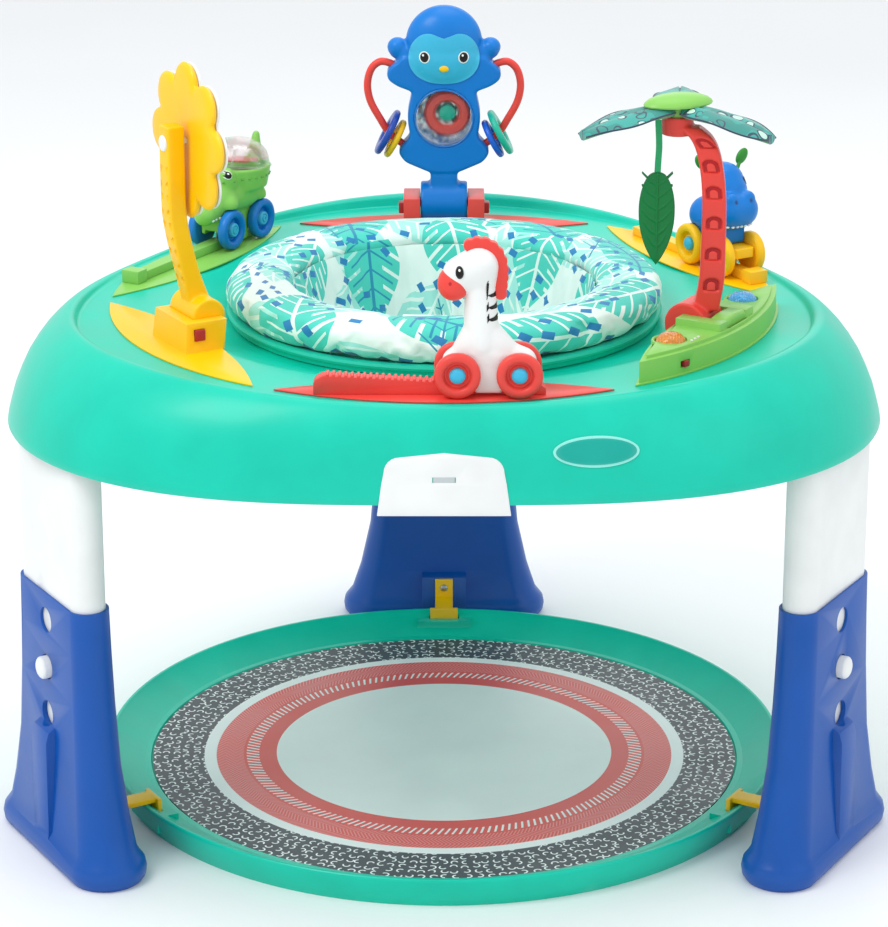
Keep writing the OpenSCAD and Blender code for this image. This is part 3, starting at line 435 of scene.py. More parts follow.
def ball(bm, centre, radius, scale=(1, 1, 1), turn=Matrix(), detail=24):
    matrix = Matrix.Translation(centre) @ turn @ Matrix.Diagonal((*[radius * s for s in scale], 1))
    return bmesh.ops.create_uvsphere(bm, u_segments=detail, v_segments=detail // 2, radius=1,
                                     matrix=matrix)["verts"]


def block(bm, low, high):
    low, high = Vector(low), Vector(high)
    matrix = Matrix.Translation((low + high) / 2) @ Matrix.Diagonal((*(high - low), 1))
    return bmesh.ops.create_cube(bm, size=1, matrix=matrix)["verts"]


def barrel(bm, centre, axis, r_low, r_high, depth, steps=64):
    """Cylinder or cone about a point, along an axis"""
    turn = Vector(axis).to_track_quat("Z", "Y").to_matrix().to_4x4()
    return bmesh.ops.create_cone(bm, cap_ends=True, segments=steps, radius1=r_low, radius2=r_high,
                                 depth=depth,
                                 matrix=Matrix.Translation(centre) @ turn)["verts"]


def hull(bm, balls, detail=24):
    """Skin stretched over balls, each given as a centre and a radius"""
    verts = []
    for centre, radius in balls:
        verts += ball(bm, centre, radius, detail=detail)
    made = bmesh.ops.convex_hull(bm, input=verts, use_existing_faces=False)
    spare = [g for g in set(made["geom_interior"]) | set(made["geom_unused"]) if isinstance(g,
            bmesh.types.BMVert)]
    bmesh.ops.delete(bm, geom=spare, context="VERTS")


def lathe(bm, profile, matrix=Matrix(), steps=96):
    """Turned shape from a profile of radius and height, about the Z axis of a matrix"""
    verts = [bm.verts.new((r, 0, z)) for r, z in profile]
    edges = [bm.edges.new(pair) for pair in zip(verts, verts[1:])]
    if profile[0][0] > 0.01 and profile[-1][0] > 0.01:
        edges.append(bm.edges.new((verts[-1], verts[0])))
    before = set(bm.verts) - set(verts)
    bmesh.ops.spin(bm, geom=verts + edges, cent=(0, 0, 0), axis=(0, 0, 1), angle=2 * pi, steps=steps,
                   use_merge=True)
    fresh = [v for v in bm.verts if v not in before]
    bmesh.ops.remove_doubles(bm, verts=fresh, dist=0.002)
    fresh = [v for v in bm.verts if v not in before]
    bmesh.ops.transform(bm, matrix=matrix, verts=fresh)
    return fresh


def loft(bm, rings, closed=False):
    """Skin through rings of points; closed joins the last ring to the first instead of capping both"""
    loops = []
    for ring in rings:
        verts = [bm.verts.new(p) for p in ring]
        loops.append([bm.edges.new((verts[i], verts[(i + 1) % len(verts)])) for i in range(len(verts))])
    for first, second in zip(loops, loops[1:] + loops[:1] if closed else loops[1:]):
        bmesh.ops.bridge_loops(bm, edges=first + second)
    if not closed:
        bmesh.ops.holes_fill(bm, edges=loops[0] + loops[-1])


def pipe(bm, path, radii, sides=20, flat=1.0, about=UP):
    """Tube along a path, with a radius at each point"""
    path = [Vector(p) for p in path]
    rings = []
    for i, p in enumerate(path):
        along = (path[min(i + 1, len(path) - 1)] - path[max(i - 1, 0)]).normalized()
        side = along.cross(about).normalized()
        rise = side.cross(along)
        r = radii[i] if isinstance(radii, (list, tuple)) else radii
        rings.append([p + r * (cos(2 * pi * k / sides) * side + flat * sin(2 * pi * k / sides) * rise)
                      for k in range(sides)])
    loft(bm, rings)


def slab(bm, outline, low, high, matrix=Matrix(), rounding=0.0, segments=3):
    """Flat outline raised from one height to another, with rounded edges"""
    before = set(bm.verts)
    face = bm.faces.new([bm.verts.new((x, y, low)) for x, y in outline])
    raised = bmesh.ops.extrude_face_region(bm, geom=[face])["geom"]
    bmesh.ops.translate(bm, vec=(0, 0, high - low),
                        verts=[g for g in raised if isinstance(g, bmesh.types.BMVert)])
    fresh = [v for v in bm.verts if v not in before]
    bmesh.ops.recalc_face_normals(bm, faces=list({f for v in fresh for f in v.link_faces}))
    if rounding:
        edges = [e for e in {e for v in fresh for e in v.link_edges}
                 if abs(e.verts[0].co.z - e.verts[1].co.z) < 1e-4]
        bmesh.ops.bevel(bm, geom=edges, offset=rounding, offset_type="OFFSET", segments=segments,
                        profile=0.5,
                        affect="EDGES", material=-1, clamp_overlap=True)
    fresh = [v for v in bm.verts if v not in before]
    bmesh.ops.transform(bm, matrix=matrix, verts=fresh)
    return fresh


def smooth_path(points, steps=6):
    """Points along a rounded line through the given ones"""
    points = [Vector(p) for p in points]
    found = []
    for i in range(len(points) - 1):
        a, b, c, d = points[max(i - 1, 0)], points[i], points[i + 1], points[min(i + 2, len(points) - 1)]
        for k in range(steps):
            t = k / steps
            found.append(0.5 * (2 * b + (c - a) * t + (2 * a - 5 * b + 4 * c - d) * t * t
                                + (3 * b - a - 3 * c + d) * t ** 3))
    return found + [points[-1]]


def rounded(points, radius, steps=5):
    """Outline with each corner rounded"""
    found, n = [], len(points)
    for i in range(n):
        p = Vector(points[i])
        a, b = Vector(points[i - 1]) - p, Vector(points[(i + 1) % n]) - p
        reach = min(radius, a.length * 0.45, b.length * 0.45)
        start, end = p + a.normalized() * reach, p + b.normalized() * reach
        for k in range(steps + 1):
            t = k / steps
            found.append(tuple((1 - t) ** 2 * start + 2 * t * (1 - t) * p + t * t * end))
    return found


def evaluated(mesh, stack):
    """Mesh after a list of modifiers, each a type and its settings"""
    carrier = bpy.data.objects.new("carrier", mesh)
    bpy.context.scene.collection.objects.link(carrier)
    helpers = []
    for kind, settings in stack:
        modifier = carrier.modifiers.new(kind, kind)
        for key, value in settings.items():
            if isinstance(value, bpy.types.Mesh):
                value = bpy.data.objects.new("helper", value)
                bpy.context.scene.collection.objects.link(value)
                helpers.append(value)
            setattr(modifier, key, value)
    bpy.context.view_layer.update()
    graph = bpy.context.evaluated_depsgraph_get()
    made = bpy.data.meshes.new_from_object(carrier.evaluated_get(graph))
    for spare in [carrier, *helpers]:
        bpy.data.objects.remove(spare)
    return made


def as_mesh(bm):
    mesh = bpy.data.meshes.new("work")
    bmesh.ops.recalc_face_normals(bm, faces=bm.faces)
    bm.to_mesh(mesh)
    bm.free()
    return mesh


def fused(bm, voxel_mm, rounds=4, cuts=()):
    """One smooth moulded body out of overlapping solids, with solids cut away from it"""
    for cut in cuts:
        bmesh.ops.recalc_face_normals(cut, faces=cut.faces)
    stack = [("REMESH", {"mode": "VOXEL", "voxel_size": voxel_mm, "adaptivity": 0.0}),
             ("SMOOTH", {"factor": 0.5, "iterations": rounds})]
    mesh = evaluated(as_mesh(bm), stack)
    if cuts:
        tools = [("BOOLEAN", {"operation": "DIFFERENCE", "solver": "EXACT",
                              "object": as_mesh(cut)}) for cut in cuts]
        mesh = evaluated(mesh, tools + [("REMESH",
                                         {"mode": "VOXEL", "voxel_size": voxel_mm, "adaptivity": 0.0}),
                                        ("SMOOTH", {"factor": 0.5, "iterations": 2})])
    made = bmesh.new()
    made.from_mesh(mesh)
    return made


def part(bm, name, material, body, slot=None, stands_for=(), matrix=Matrix(), sharp=38, outward=True):
    """Finished piece out of a mesh in millimetres: placed, smooth-shaded and riding on its body"""
    bmesh.ops.transform(bm, matrix=Matrix.Scale(MM, 4) @ matrix, verts=bm.verts)
    if outward:
        bmesh.ops.recalc_face_normals(bm, faces=bm.faces)
    for face in bm.faces:
        face.smooth = True
    for edge in bm.edges:
        edge.smooth = len(edge.link_faces) != 2 or edge.calc_face_angle() < radians(sharp)
    mesh = bpy.data.meshes.new(name)
    bm.to_mesh(mesh)
    bm.free()
    mesh.materials.append(material)
    piece = bpy.data.objects.new(name, mesh)
    bpy.context.scene.collection.objects.link(piece)
    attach(piece, body)
    if stands_for:
        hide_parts(*stands_for)
    return piece


def refined(node_name, material, body, slot, rounding=0.8, sharp=32, name=None):
    """A CAD node's own shape with its facets merged and its edges rounded"""
    bm = bmesh.new()
    bm.from_mesh(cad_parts[node_name].data)
    bmesh.ops.scale(bm, vec=(1 / MM,) * 3, verts=bm.verts)
    bmesh.ops.remove_doubles(bm, verts=bm.verts, dist=0.01)
    bmesh.ops.dissolve_limit(bm, angle_limit=radians(0.6), verts=bm.verts, edges=bm.edges)
    if rounding:
        edges = [e for e in bm.edges if len(e.link_faces) == 2 and e.calc_face_angle() > radians(sharp)]
        bmesh.ops.bevel(bm, geom=edges, offset=rounding, offset_type="OFFSET", segments=2, profile=0.5,
                        affect="EDGES", material=-1, clamp_overlap=True)
    return part(bm, name or node_name + "_moulding", material, body, slot, [node_name], sharp=sharp,
                outward=False)


def painted(node_name, material):
    """Gives a CAD node its material in its own slots"""
    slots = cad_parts[node_name].data.materials
    for i in range(len(slots)):
        slots[i] = material
    if not len(slots):
        slots.append(material)


def station(direction, radius=0.0, along=0.0, height=0.0):
    """Frame of a toy station: X outwards, Y along the table's edge, Z up"""
    return (Matrix.Rotation(radians(direction), 4, "Z") @ Matrix.Translation((radius, along, height)))


def car_frame(name, forward):
    """Frame of a toy car: X forwards, Y to its left, origin between its axles"""
    return Matrix.Translation(middle(name + "_axles")) @ Matrix.Rotation(radians(forward), 4, "Z")


def lobed(mean, lobe, height, rise=0.0, steps=192):
    """Ring drawn out towards the three legs"""
    points = []
    for i in range(steps):
        turn = 2 * pi * i / steps
        share = cos(3 * (turn - pi / 2))
        r = mean * (1 + lobe * share)
        points.append((r * cos(turn), r * sin(turn), height + rise * share))
    return points


FINISH = {}


def finishes():
    """All moulded plastics, made once"""
    if not FINISH:
        tones = bpy.context.scene.activity_table_colours
        for key in ("teal", "leg_blue", "white", "yellow", "coral", "red", "green", "toy_blue", "sky"):
            FINISH[key] = moulded("moulded_plastic_" + key, tuple(getattr(tones, key)))
        FINISH["ink"] = gloss_print("printed_eye_black", srgb("15110f"))
        FINISH["glint"] = gloss_print("printed_glint_white", srgb("fbfbf8"))
        FINISH["dark_slot"] = moulded("moulded_plastic_slot_shadow", srgb("2a2c30"), 0.6)
        # darker coral used as painted shade: in the zebra's nostril dimples and on the trunk's groove floors
        FINISH["deep_coral"] = moulded("moulded_plastic_deep_coral", srgb("b3161c"), 0.3)
        FINISH["ring_blue"] = moulded("moulded_plastic_ring_blue", srgb("1240a0"), 0.25)
        FINISH["ring_cobalt"] = moulded("moulded_plastic_ring_cobalt", srgb("1160d2"), 0.25)
        FINISH["ring_yellow"] = moulded("moulded_plastic_ring_yellow", srgb("eebb05"), 0.25)
        FINISH["ring_teal"] = moulded("moulded_plastic_ring_teal", srgb("10b397"), 0.25)
        FINISH["ear_green"] = moulded("moulded_plastic_ear_green", srgb("2f8a2c"), 0.35)
        FINISH["clear"] = clear_plastic("clear_polystyrene", (0.95, 0.98, 0.98))
    return FINISH


# ---------------------------------------------------------------- studio

class ActivityTableStudio(bpy.types.Operator):
    """Pale floor, soft lights and the camera"""
    bl_idname = "activity_table.studio"
    bl_label = "Studio"

    def execute(self, context):
        camera_data = bpy.data.cameras.new("camera")
        camera_data.lens = 128.8
        camera_data.sensor_width = 36
        camera_data.clip_end = 60
        camera = bpy.data.objects.new("camera", camera_data)
        camera.location = (0, -3.156, 1.4194)
        camera.rotation_euler = (radians(90 - 19.13), 0, 0)
        context.scene.collection.objects.link(camera)
        context.scene.camera = camera
        bm = bmesh.new()
        bmesh.ops.create_circle(bm, cap_ends=True, segments=96, radius=14)
        mesh = bpy.data.meshes.new("studio_floor")
        bm.to_mesh(mesh)
        bm.free()
        material, tree, shader = blank("pale_painted_floor")
        point = add(tree, "ShaderNodeTexCoord").outputs["Object"]
        varied(tree, shader, srgb("f6f7f7"), point, 0.75, 0.01, 900)
        mesh.materials.append(material)
        floor = bpy.data.objects.new("studio_floor", mesh)
        context.scene.collection.objects.link(floor)
        for name, place, size, power in (("key", (-1.5, -1.2, 2.8), 1.2, 30),
                                         ("fill", (2.2, -1.6, 1.9), 1.8, 4),
                                         ("top", (0.2, 0.3, 3.0), 1.8, 18),
                                         ("rim", (0.4, 2.4, 1.8), 1.6, 5)):
            light = bpy.data.lights.new(name, "AREA")
            light.size = size
            light.energy = power
            lamp = bpy.data.objects.new(name, light)
            lamp.location = place
            lamp.rotation_euler = (Vector((0, 0, 0.45)) - Vector(place)).to_track_quat("-Z", "Y").to_euler()
            context.scene.collection.objects.link(lamp)
        world = bpy.data.worlds.new("studio_air")
        world.use_nodes = True
        world.node_tree.nodes["Background"].inputs[0].default_value = (0.95, 0.97, 1.0, 1)
        world.node_tree.nodes["Background"].inputs[1].default_value = 0.95
        context.scene.world = world
        context.scene.view_settings.view_transform = "Standard"
        return {"FINISHED"}


# ---------------------------------------------------------------- table, legs and foot tray

class ActivityTableTop(bpy.types.Operator):
    """Moulded table: skirt, rounded rim, toy deck, seat dish and the bore that the seat turns in"""
    bl_idname = "activity_table.table_top"
    bl_label = "Table"

    def execute(self, context):
        done = finishes()
        r, z, d = span("table_top")[1].y / 1.097, SKIRT_Z, DECK_Z
        dish = d - 13
        rows = [(r - 3, 0.097, z + 0.6, 0), (r - 2.2, 0.097, z, 0), (r - 0.7, 0.097, z + 0.4, 0),
                (r, 0.097, z + 2, 0),
                (r - 1, 0.096, z + 9, 0), (r - 3, 0.095, z + 18, 0), (r - 6, 0.092, z + 31, 0.3),
                (r - 10, 0.088, z + 43, 0.6), (r - 15, 0.083, z + 55.5, 1.2), (r - 21, 0.078, z + 66, 1.8),
                (r - 27, 0.073, z + 74.5, 2.6), (r - 33, 0.068, z + 81, 3.4), (r - 37, 0.064, z + 84.8, 4),
                (r - 40.5, 0.061, z + 87.6, 4.5), (r - 43.5, 0.059, z + 89.6, 4.8),
                (r - 46.5, 0.057, z + 90.7, 5),
                (r - 49.5, 0.055, z + 90.8, 4.8), (r - 52.2, 0.053, z + 89.6, 4.4),
                (r - 53.8, 0.052, z + 87.4, 3.4),
                (r - 54.8, 0.052, d + 1.6, 0.4), (r - 56.4, 0.052, d + 0.3, 0), (r - 58.5, 0.051, d, 0),
                (290, 0.01, d, 0), (272, 0, d, 0), (268, 0, d - 0.3, 0), (263, 0, d - 1.6, 0),
                (243, 0, d - 7.4, 0),
                (SEAT_R + 13, 0, d - 12, 0), (SEAT_R + 9, 0, dish, 0), (SEAT_R - 6, 0, dish, 0),
                (186.2, 0, dish, 0),
                (185, 0, dish - 1.2, 0), (185, 0, dish - 18, 0), (188, 0, dish - 18, 0),
                (188, 0, dish - 4, 0),
                (SEAT_R + 10, 0, dish - 3, 0), (264, 0, d - 3.2, 0), (275, 0, d - 3, 0),
                (r - 43, 0.062, d - 3, 0),
                (r - 35, 0.068, z + 76, 1.6), (r - 24, 0.078, z + 65, 0.9), (r - 13, 0.088, z + 42, 0.3),
                (r - 6, 0.095, z + 17, 0)]
        bm = bmesh.new()
        loft(bm, [lobed(*row) for row in rows], closed=True)
        top = part(bm, "table_moulding", done["teal"], "table", "teal", ["table_top"])
        top.data.materials[0] = done["teal"]
        refined("front_cover", done["white"], "table", "white", 0.9, name="front_cover_panel")
        # grey latch behind the cover's slot
        bm = bmesh.new()
        front = span("front_cover")[0].y
        block(bm, (-9.6, front + 3.2, SKIRT_Z + 21.2), (9.6, front + 9, SKIRT_Z + 26.8))
        part(bm, "front_cover_latch", moulded("moulded_plastic_latch_grey", srgb("b9c2c4")), "table",
             "white")
        # sockets under the skirt that hold the posts' tenons
        for name, direction in LEG_AT.items():
            bm = bmesh.new()
            low = span("leg_post_" + name)[1].z - 44
            loft(bm, [[(392 + 11 * x, 47 * y, low + h) for x, y in OVAL] for h in (0, 46)])
            part(bm, "post_socket_" + name, done["teal"], "table", "teal", matrix=station(direction, 10))
        return {"FINISHED"}


OVAL = [(cos(2 * pi * i / 48), (abs(sin(2 * pi * i / 48)) ** 0.35) * (1 if sin(2 * pi * i / 48) > 0 else -1))
        for i in range(48)]


class ActivityTableLegs(bpy.types.Operator):
    """White posts, blue bases, domed snap buttons and their springs"""
    bl_idname = "activity_table.legs"
    bl_label = "Legs"

    def execute(self, context):
        done = finishes()
        for name in LEG_AT:
            refined("leg_post_" + name, done["white"], "table", "white", 0.8)
            refined("leg_base_" + name, done["leg_blue"], "base", "leg_blue", 0.9, 30)
            refined("height_button_" + name, done["white"], "height_button_" + name, "white", 0)
        steel = blank("drawn_steel_wire")
        point = add(steel[1], "ShaderNodeTexCoord").outputs["Object"]
        varied(steel[1], steel[2], srgb("b9bcc0"), point, 0.3, 0.05, 4)
        steel[2].inputs["Metallic"].default_value = 1.0
        painted("button_springs", steel[0])
        return {"FINISHED"}


class ActivityTableFootTray(bpy.types.Operator):
    """Foot tray with its printed mat and the yellow straps that tie it to the legs"""
    bl_idname = "activity_table.foot_tray"
    bl_label = "Foot tray"

    def execute(self, context):
        done = finishes()
        settings = context.scene.activity_table_mat
        refined("foot_tray", done["teal"], "base", "teal", 0.8, 20)
        refined("tray_links", done["yellow"], "base", "yellow", 0.8)
        painted("tray_mat", mat_print("printed_vinyl_mat", settings, span("tray_mat")[1].x * MM))
        # round-headed screws that hold the straps to the legs
        bm = bmesh.new()
        for direction in LEG_AT.values():
            matrix = station(direction, 418 - 50.5, 0, 47) @ Matrix.Rotation(radians(-90), 4, "Y")
            lathe(bm, [(0, 2.2), (2.4, 2.0), (3.9, 1.0), (4.3, 0), (4.3, -2), (0, -2)], matrix, 32)
        part(bm, "strap_screws", blank_steel(), "base", "steel")
        return {"FINISHED"}


def blank_steel():
    """Zinc-plated steel: grey and half-bright"""
    material, tree, shader = blank("zinc_plated_steel")
    point = add(tree, "ShaderNodeTexCoord").outputs["Object"]
    varied(tree, shader, srgb("a9adb2"), point, 0.35, 0.06, 3)
    shader.inputs["Metallic"].default_value = 1.0
    return material


# ---------------------------------------------------------------- seat

def fold(turn, level, seed=0.0):
    """Depth of the fabric's folds, from -1 to 1: broad folds that run down the seat, and finer ones"""
    around = Vector((cos(turn), sin(turn), 0))
    broad = noise.noise(around * 3.4 + Vector((seed, 0, level * 0.55)))
    middle_size = noise.noise(around * 8.5 + Vector((0, seed + 5, level * 0.9)))
    fine = noise.noise(around * 19 + Vector((3, 7, level * 1.3 + seed)))
    ridge = 1 - 2 * abs(middle_size)
    return 0.9 * broad + 0.5 * (ridge - 0.6) + 0.28 * fine


def wrap_print(piece, v_at, radius=0.165):
    """UV map of a round fabric piece: distance round the seat, and distance along its section"""
    uv = piece.data.uv_layers.new(name="print")
    for face in piece.data.polygons:
        turns = [atan2(piece.data.vertices[v].co.y, piece.data.vertices[v].co.x) for v in face.vertices]
        if max(turns) - min(turns) > pi:
            turns = [t + 2 * pi if t < 0 else t for t in turns]
        for loop, vertex, turn in zip(face.loop_indices, face.vertices, turns):
            co = piece.data.vertices[vertex].co
            uv.data[loop].uv = (turn * radius, v_at(hypot(co.x, co.y), co.z))


def puffed(bm, pressure=4.0, cap_mm=8.0, voxel_mm=5.0, pins=None, frames=20):
    """Lets a padded shape settle like cloth under pressure, with each point's movement capped"""
    mesh = evaluated(as_mesh(bm), [("REMESH", {"mode": "VOXEL", "voxel_size": voxel_mm * MM})])
    rest = [v.co.copy() for v in mesh.vertices]
    carrier = bpy.data.objects.new("carrier", mesh)
    scene = bpy.context.scene
    scene.collection.objects.link(carrier)
    if pins:
        group = carrier.vertex_groups.new(name="held")
        for v in mesh.vertices:
            group.add([v.index], pins(v.co), "REPLACE")
    cloth = carrier.modifiers.new("cloth", "CLOTH")
    cloth.settings.quality = 6
    cloth.settings.mass = 0.25
    cloth.settings.tension_stiffness = cloth.settings.compression_stiffness = 12
    cloth.settings.bending_stiffness = 0.4
    cloth.settings.use_pressure = True
    cloth.settings.uniform_pressure_force = pressure
    cloth.settings.effector_weights.gravity = 0
    cloth.settings.shrink_min = -0.05
    if pins:
        cloth.settings.vertex_group_mass = "held"
    cloth.point_cache.frame_start, cloth.point_cache.frame_end = 1, frames
    for frame_number in range(1, frames + 1):
        scene.frame_set(frame_number)
    settled = bpy.data.meshes.new_from_object(carrier.evaluated_get(bpy.context.evaluated_depsgraph_get()))
    for v, old in zip(settled.vertices, rest):
        move = v.co - old
        if move.length > cap_mm * MM:
            v.co = old + move.normalized() * cap_mm * MM
    bpy.data.objects.remove(carrier)
    scene.frame_set(1)
    made = bmesh.new()
    made.from_mesh(evaluated(settled, [("SUBSURF", {"levels": 1, "render_levels": 1})]))
    return made


def to_millimetres(bm):
    bmesh.ops.scale(bm, vec=(1 / MM,) * 3, verts=bm.verts)
    return bm


class ActivityTableSeat(bpy.types.Operator):
    """Turning seat ring with its padded rim and the fabric sling"""
    bl_idname = "activity_table.seat"
    bl_label = "Seat"

    def execute(self, context):
        done = finishes()
        settings = context.scene.activity_table_fabric
        fabric = printed_fabric("printed_microfibre", settings)
        refined("seat_ring", done["teal"], "seat", "teal", 1.2)
        refined("seat_retainer", done["white"], "seat", "white", 0.5)
        bm = bmesh.new()
        # rolled edge of the ring, just outside the fabric
        lathe(bm, [(SEAT_R - 9, RING_TOP - 3), (SEAT_R - 2, RING_TOP - 3), (SEAT_R + 2.2, RING_TOP - 1.5),
                   (SEAT_R + 3.2, RING_TOP + 1), (SEAT_R + 2.2, RING_TOP + 3.4),
                   (SEAT_R - 1, RING_TOP + 4.4),
                   (SEAT_R - 9, RING_TOP + 3)], steps=192)
        part(bm, "seat_ring_rolled_edge", done["teal"], "seat", "teal")
        self.cushion(fabric)
        self.sling(settings, fabric)
        self.tags()
        return {"FINISHED"}

    def cushion(self, fabric):
        top = span("seat_cushion")[1].z
        mid_r, half = 180.0, 33.5
        base = RING_TOP + 2.5
        high = top - base
        around, across = 240, 30
        bm = bmesh.new()
        section = [(mid_r + half * cos(2 * pi * k / across),
                    base + high / 2 + high / 2 * sin(2 * pi * k / across))
                   for k in range(across)]
        for v in lathe(bm, section, steps=around):
            turn, r = atan2(v.co.y, v.co.x), hypot(v.co.x, v.co.y)
            a = atan2((v.co.z - base - high / 2) / (high / 2), (r - mid_r) / half)
            inner = max(0.0, -cos(a))
            lift = fold(turn, 2.0 * sin(a), 2.0)
            r += (2.0 + 3.4 * inner) * lift * 0.6 * cos(a)
            zed = max(base, v.co.z + (0.8 + 2.4 * inner) * lift * max(0.0, sin(a)))
            v.co = Vector((r * cos(turn), r * sin(turn), min(zed, top + 6))) * MM
        bmesh.ops.recalc_face_normals(bm, faces=bm.faces)
        bm = to_millimetres(puffed(bm, 3.0, 6.0, 4.5, lambda co: 1.0 if co.z < (RING_TOP + 4) * MM else 0.0))
        cushion = part(bm, "seat_rim_cushion", fabric, "seat", "seat_fabric", ["seat_cushion"])
        centre = (mid_r * MM, (base + high / 2) * MM)
        wrap_print(cushion, lambda r, z: 0.034 * (pi - abs(atan2(z - centre[1], centre[0] - r)))
                   if z > centre[1] else 0.034 * (atan2(centre[1] - z, r - centre[0])) * -1)

    def sling(self, settings, fabric):
        top = DECK_Z + 17
        low = span("seat_sling")[0].z
        rows = [(152.5, top), (149, top - 12), (145.5, top - 27), (140.5, top - 45), (134, top - 64),
                (126.5, top - 84), (117.5, top - 103), (107, top - 120), (95, low + 24), (83, low + 14),
                (68, low + 7.5), (52, low + 4), (34, low + 2.5), (16, low + 1.5), (4, low + 1.2)]
        rows = [tuple(p) for p in smooth_path([(r, z, 0) for r, z in rows], 3)]
        around = 288
        depth = settings.fold_depth / MM
        bm = bmesh.new()
        rings = []
        for k, (radius, height, _) in enumerate(rows):
            share = k / (len(rows) - 1)
            swell = depth * (0.25 + 1.0 * min(1, share * 3)) * min(1.0, radius / 90)
            gather = 1.1 * min(1.0, max(0.0, 1 - abs(share - 0.72) * 4)) * min(1, radius / 60)
            ring = []
            for i in range(around):
                turn = 2 * pi * i / around
                r = radius - 2 + swell * (fold(turn, 3 * share,
                                               2.0) - 0.35) + gather * sin(settings.gathers * turn)
                ring.append((r * cos(turn), r * sin(turn),
                             height + 0.25 * swell * fold(turn + 1, 2 * share)))
            rings.append(ring)
        loft(bm, rings)
        cap = [f for f in bm.faces if len(f.verts) > 8 and f.calc_center_median().z > top - 30]
        bmesh.ops.delete(bm, geom=cap, context="FACES_ONLY")
        bmesh.ops.recalc_face_normals(bm, faces=bm.faces)
        wall = BVHTree.FromBMesh(bm)
        hems = []
        for s in (-1, 1):
            axis = station(ZEBRA_AT + s * 50).to_3x3() @ Vector((sin(radians(118)), 0, cos(radians(118))))
            start = Vector((0, 0, low + 42))
            side = axis.cross(UP).normalized()
            rise = side.cross(axis)
            hem = []
            for k in range(48):
                offset = 36 * (cos(2 * pi * k / 48) * side + sin(2 * pi * k / 48) * rise)
                hit = wall.ray_cast(start + offset + axis * 220, -axis)[0]
                if hit:
                    hem.append(hit)
            hems.append(hem)
            inside = [f for f in bm.faces if (c := f.calc_center_median() - start).dot(axis) > 20
                      and (c - axis * c.dot(axis)).length < 35.5]
            bmesh.ops.delete(bm, geom=inside, context="FACES")
        mesh_thick = 1.4
        bmesh.ops.solidify(bm, geom=bm.faces, thickness=mesh_thick)
        sling = part(bm, "seat_sling_cloth", fabric, "seat", "seat_fabric", ["seat_sling"], sharp=70)
        wrap_print(sling, lambda r, z: 0.107 + (top * MM - z) * 1.12 + max(0.0, 0.09 - r) * 0.6)
        for k, hem in enumerate(hems):
            if len(hem) > 20:
                bm = bmesh.new()
                rings = []
                for i, p in enumerate(hem):
                    along = (hem[(i + 1) % len(hem)] - hem[i - 1]).normalized()
                    out = (p - Vector((0, 0, p.z))).normalized()
                    up = along.cross(out).normalized()
                    rings.append([p + 2.4 * cos(2 * pi * j / 12) * out + 4.2 * sin(2 * pi * j / 12) * up
                                  for j in range(12)])
                loft(bm, rings, closed=True)
                plain = soft_cloth("teal_binding_tape", srgb("1fb5a0"))
                binding = part(bm, "leg_opening_binding_%d" % (k + 1), plain, "seat", "seat_fabric",
                               sharp=80)

    def tags(self):
        """Plain woven loop label inside the seat, and a thin care label at the front"""
        red = soft_cloth("woven_red_label", srgb("c4161d"))
        bm = bmesh.new()
        slab(bm, rounded([(-5, 0), (5, 0), (5, 52), (-5, 52)], 1.5), 0, 1.0, rounding=0.3)
        lean = (Matrix.Translation((128, 118, 424)) @ Matrix.Rotation(radians(-44), 4, "Z")
                @ Matrix.Rotation(radians(68), 4, "X") @ Matrix.Rotation(radians(-14), 4, "Z"))
        part(bm, "woven_label_red", red, "seat", "seat_fabric", matrix=lean)
        bm = bmesh.new()
        slab(bm, rounded([(-21, -2.5), (21, -2.5), (21, 2.5), (-21, 2.5)], 1), 0, 0.8, rounding=0.25)
        lean = Matrix.Translation((-18, -150, 524)) @ Matrix.Rotation(radians(-3), 4, "Z")
        part(bm, "woven_label_pale", soft_cloth("woven_pale_label", srgb("f2f1ea")), "seat", "seat_fabric",
             matrix=lean)


def soft_cloth(name, base):
    """Plain woven polyester tape, ribbed across"""
    material, tree, shader = blank(name)
    point = add(tree, "ShaderNodeTexCoord").outputs["Object"]
    varied(tree, shader, base, point, 0.75, 0.06, 12)
    weave(tree, shader, point, 1.0, 0.15)
    shader.inputs["Sheen Weight"].default_value = 0.4
    return material


# ---------------------------------------------------------------- toy cars and their tracks

def decal(bm_target, outline, matrix, name, material, body, slot, place=Matrix(), lift=0.25, thick=0.5,
          cuts=2,
          stands_for=()):
    """Thin print laid on a surface: an outline in a matrix's XY plane, dropped along its -Z onto the mesh"""
    tree = BVHTree.FromBMesh(bm_target)
    bm = bmesh.new()
    face = bm.faces.new([bm.verts.new((x, y, 0)) for x, y in outline])
    bmesh.ops.poke(bm, faces=[face])
    for _ in range(cuts):
        bmesh.ops.subdivide_edges(bm, edges=bm.edges, cuts=1, use_grid_fill=True)
    turn = matrix.to_3x3()
    down = -(turn @ UP)
    for v in bm.verts:
        start = matrix @ v.co
        hit, normal = tree.ray_cast(start, down)[:2]
        if hit is None:
            hit, normal = tree.find_nearest(start)[:2]
        v.co = hit + normal * lift
    raised = bmesh.ops.extrude_face_region(bm, geom=bm.faces[:])["geom"]
    bmesh.ops.translate(bm, vec=-down * thick * 0.4,
                        verts=[g for g in raised if isinstance(g, bmesh.types.BMVert)])
    return part(bm, name, material, body, slot, stands_for, place, 60)


def oval(width, height, steps=28):
    return [(width * cos(2 * pi * i / steps), height * sin(2 * pi * i / steps)) for i in range(steps)]


def facing(point, towards, roll=0.0):
    """Frame at a point whose Z looks the given way"""
    return Matrix.Translation(point) @ Vector(towards).to_track_quat("Z",
            "Y").to_matrix().to_4x4() @ Matrix.Rotation(
        radians(roll), 4, "Z")


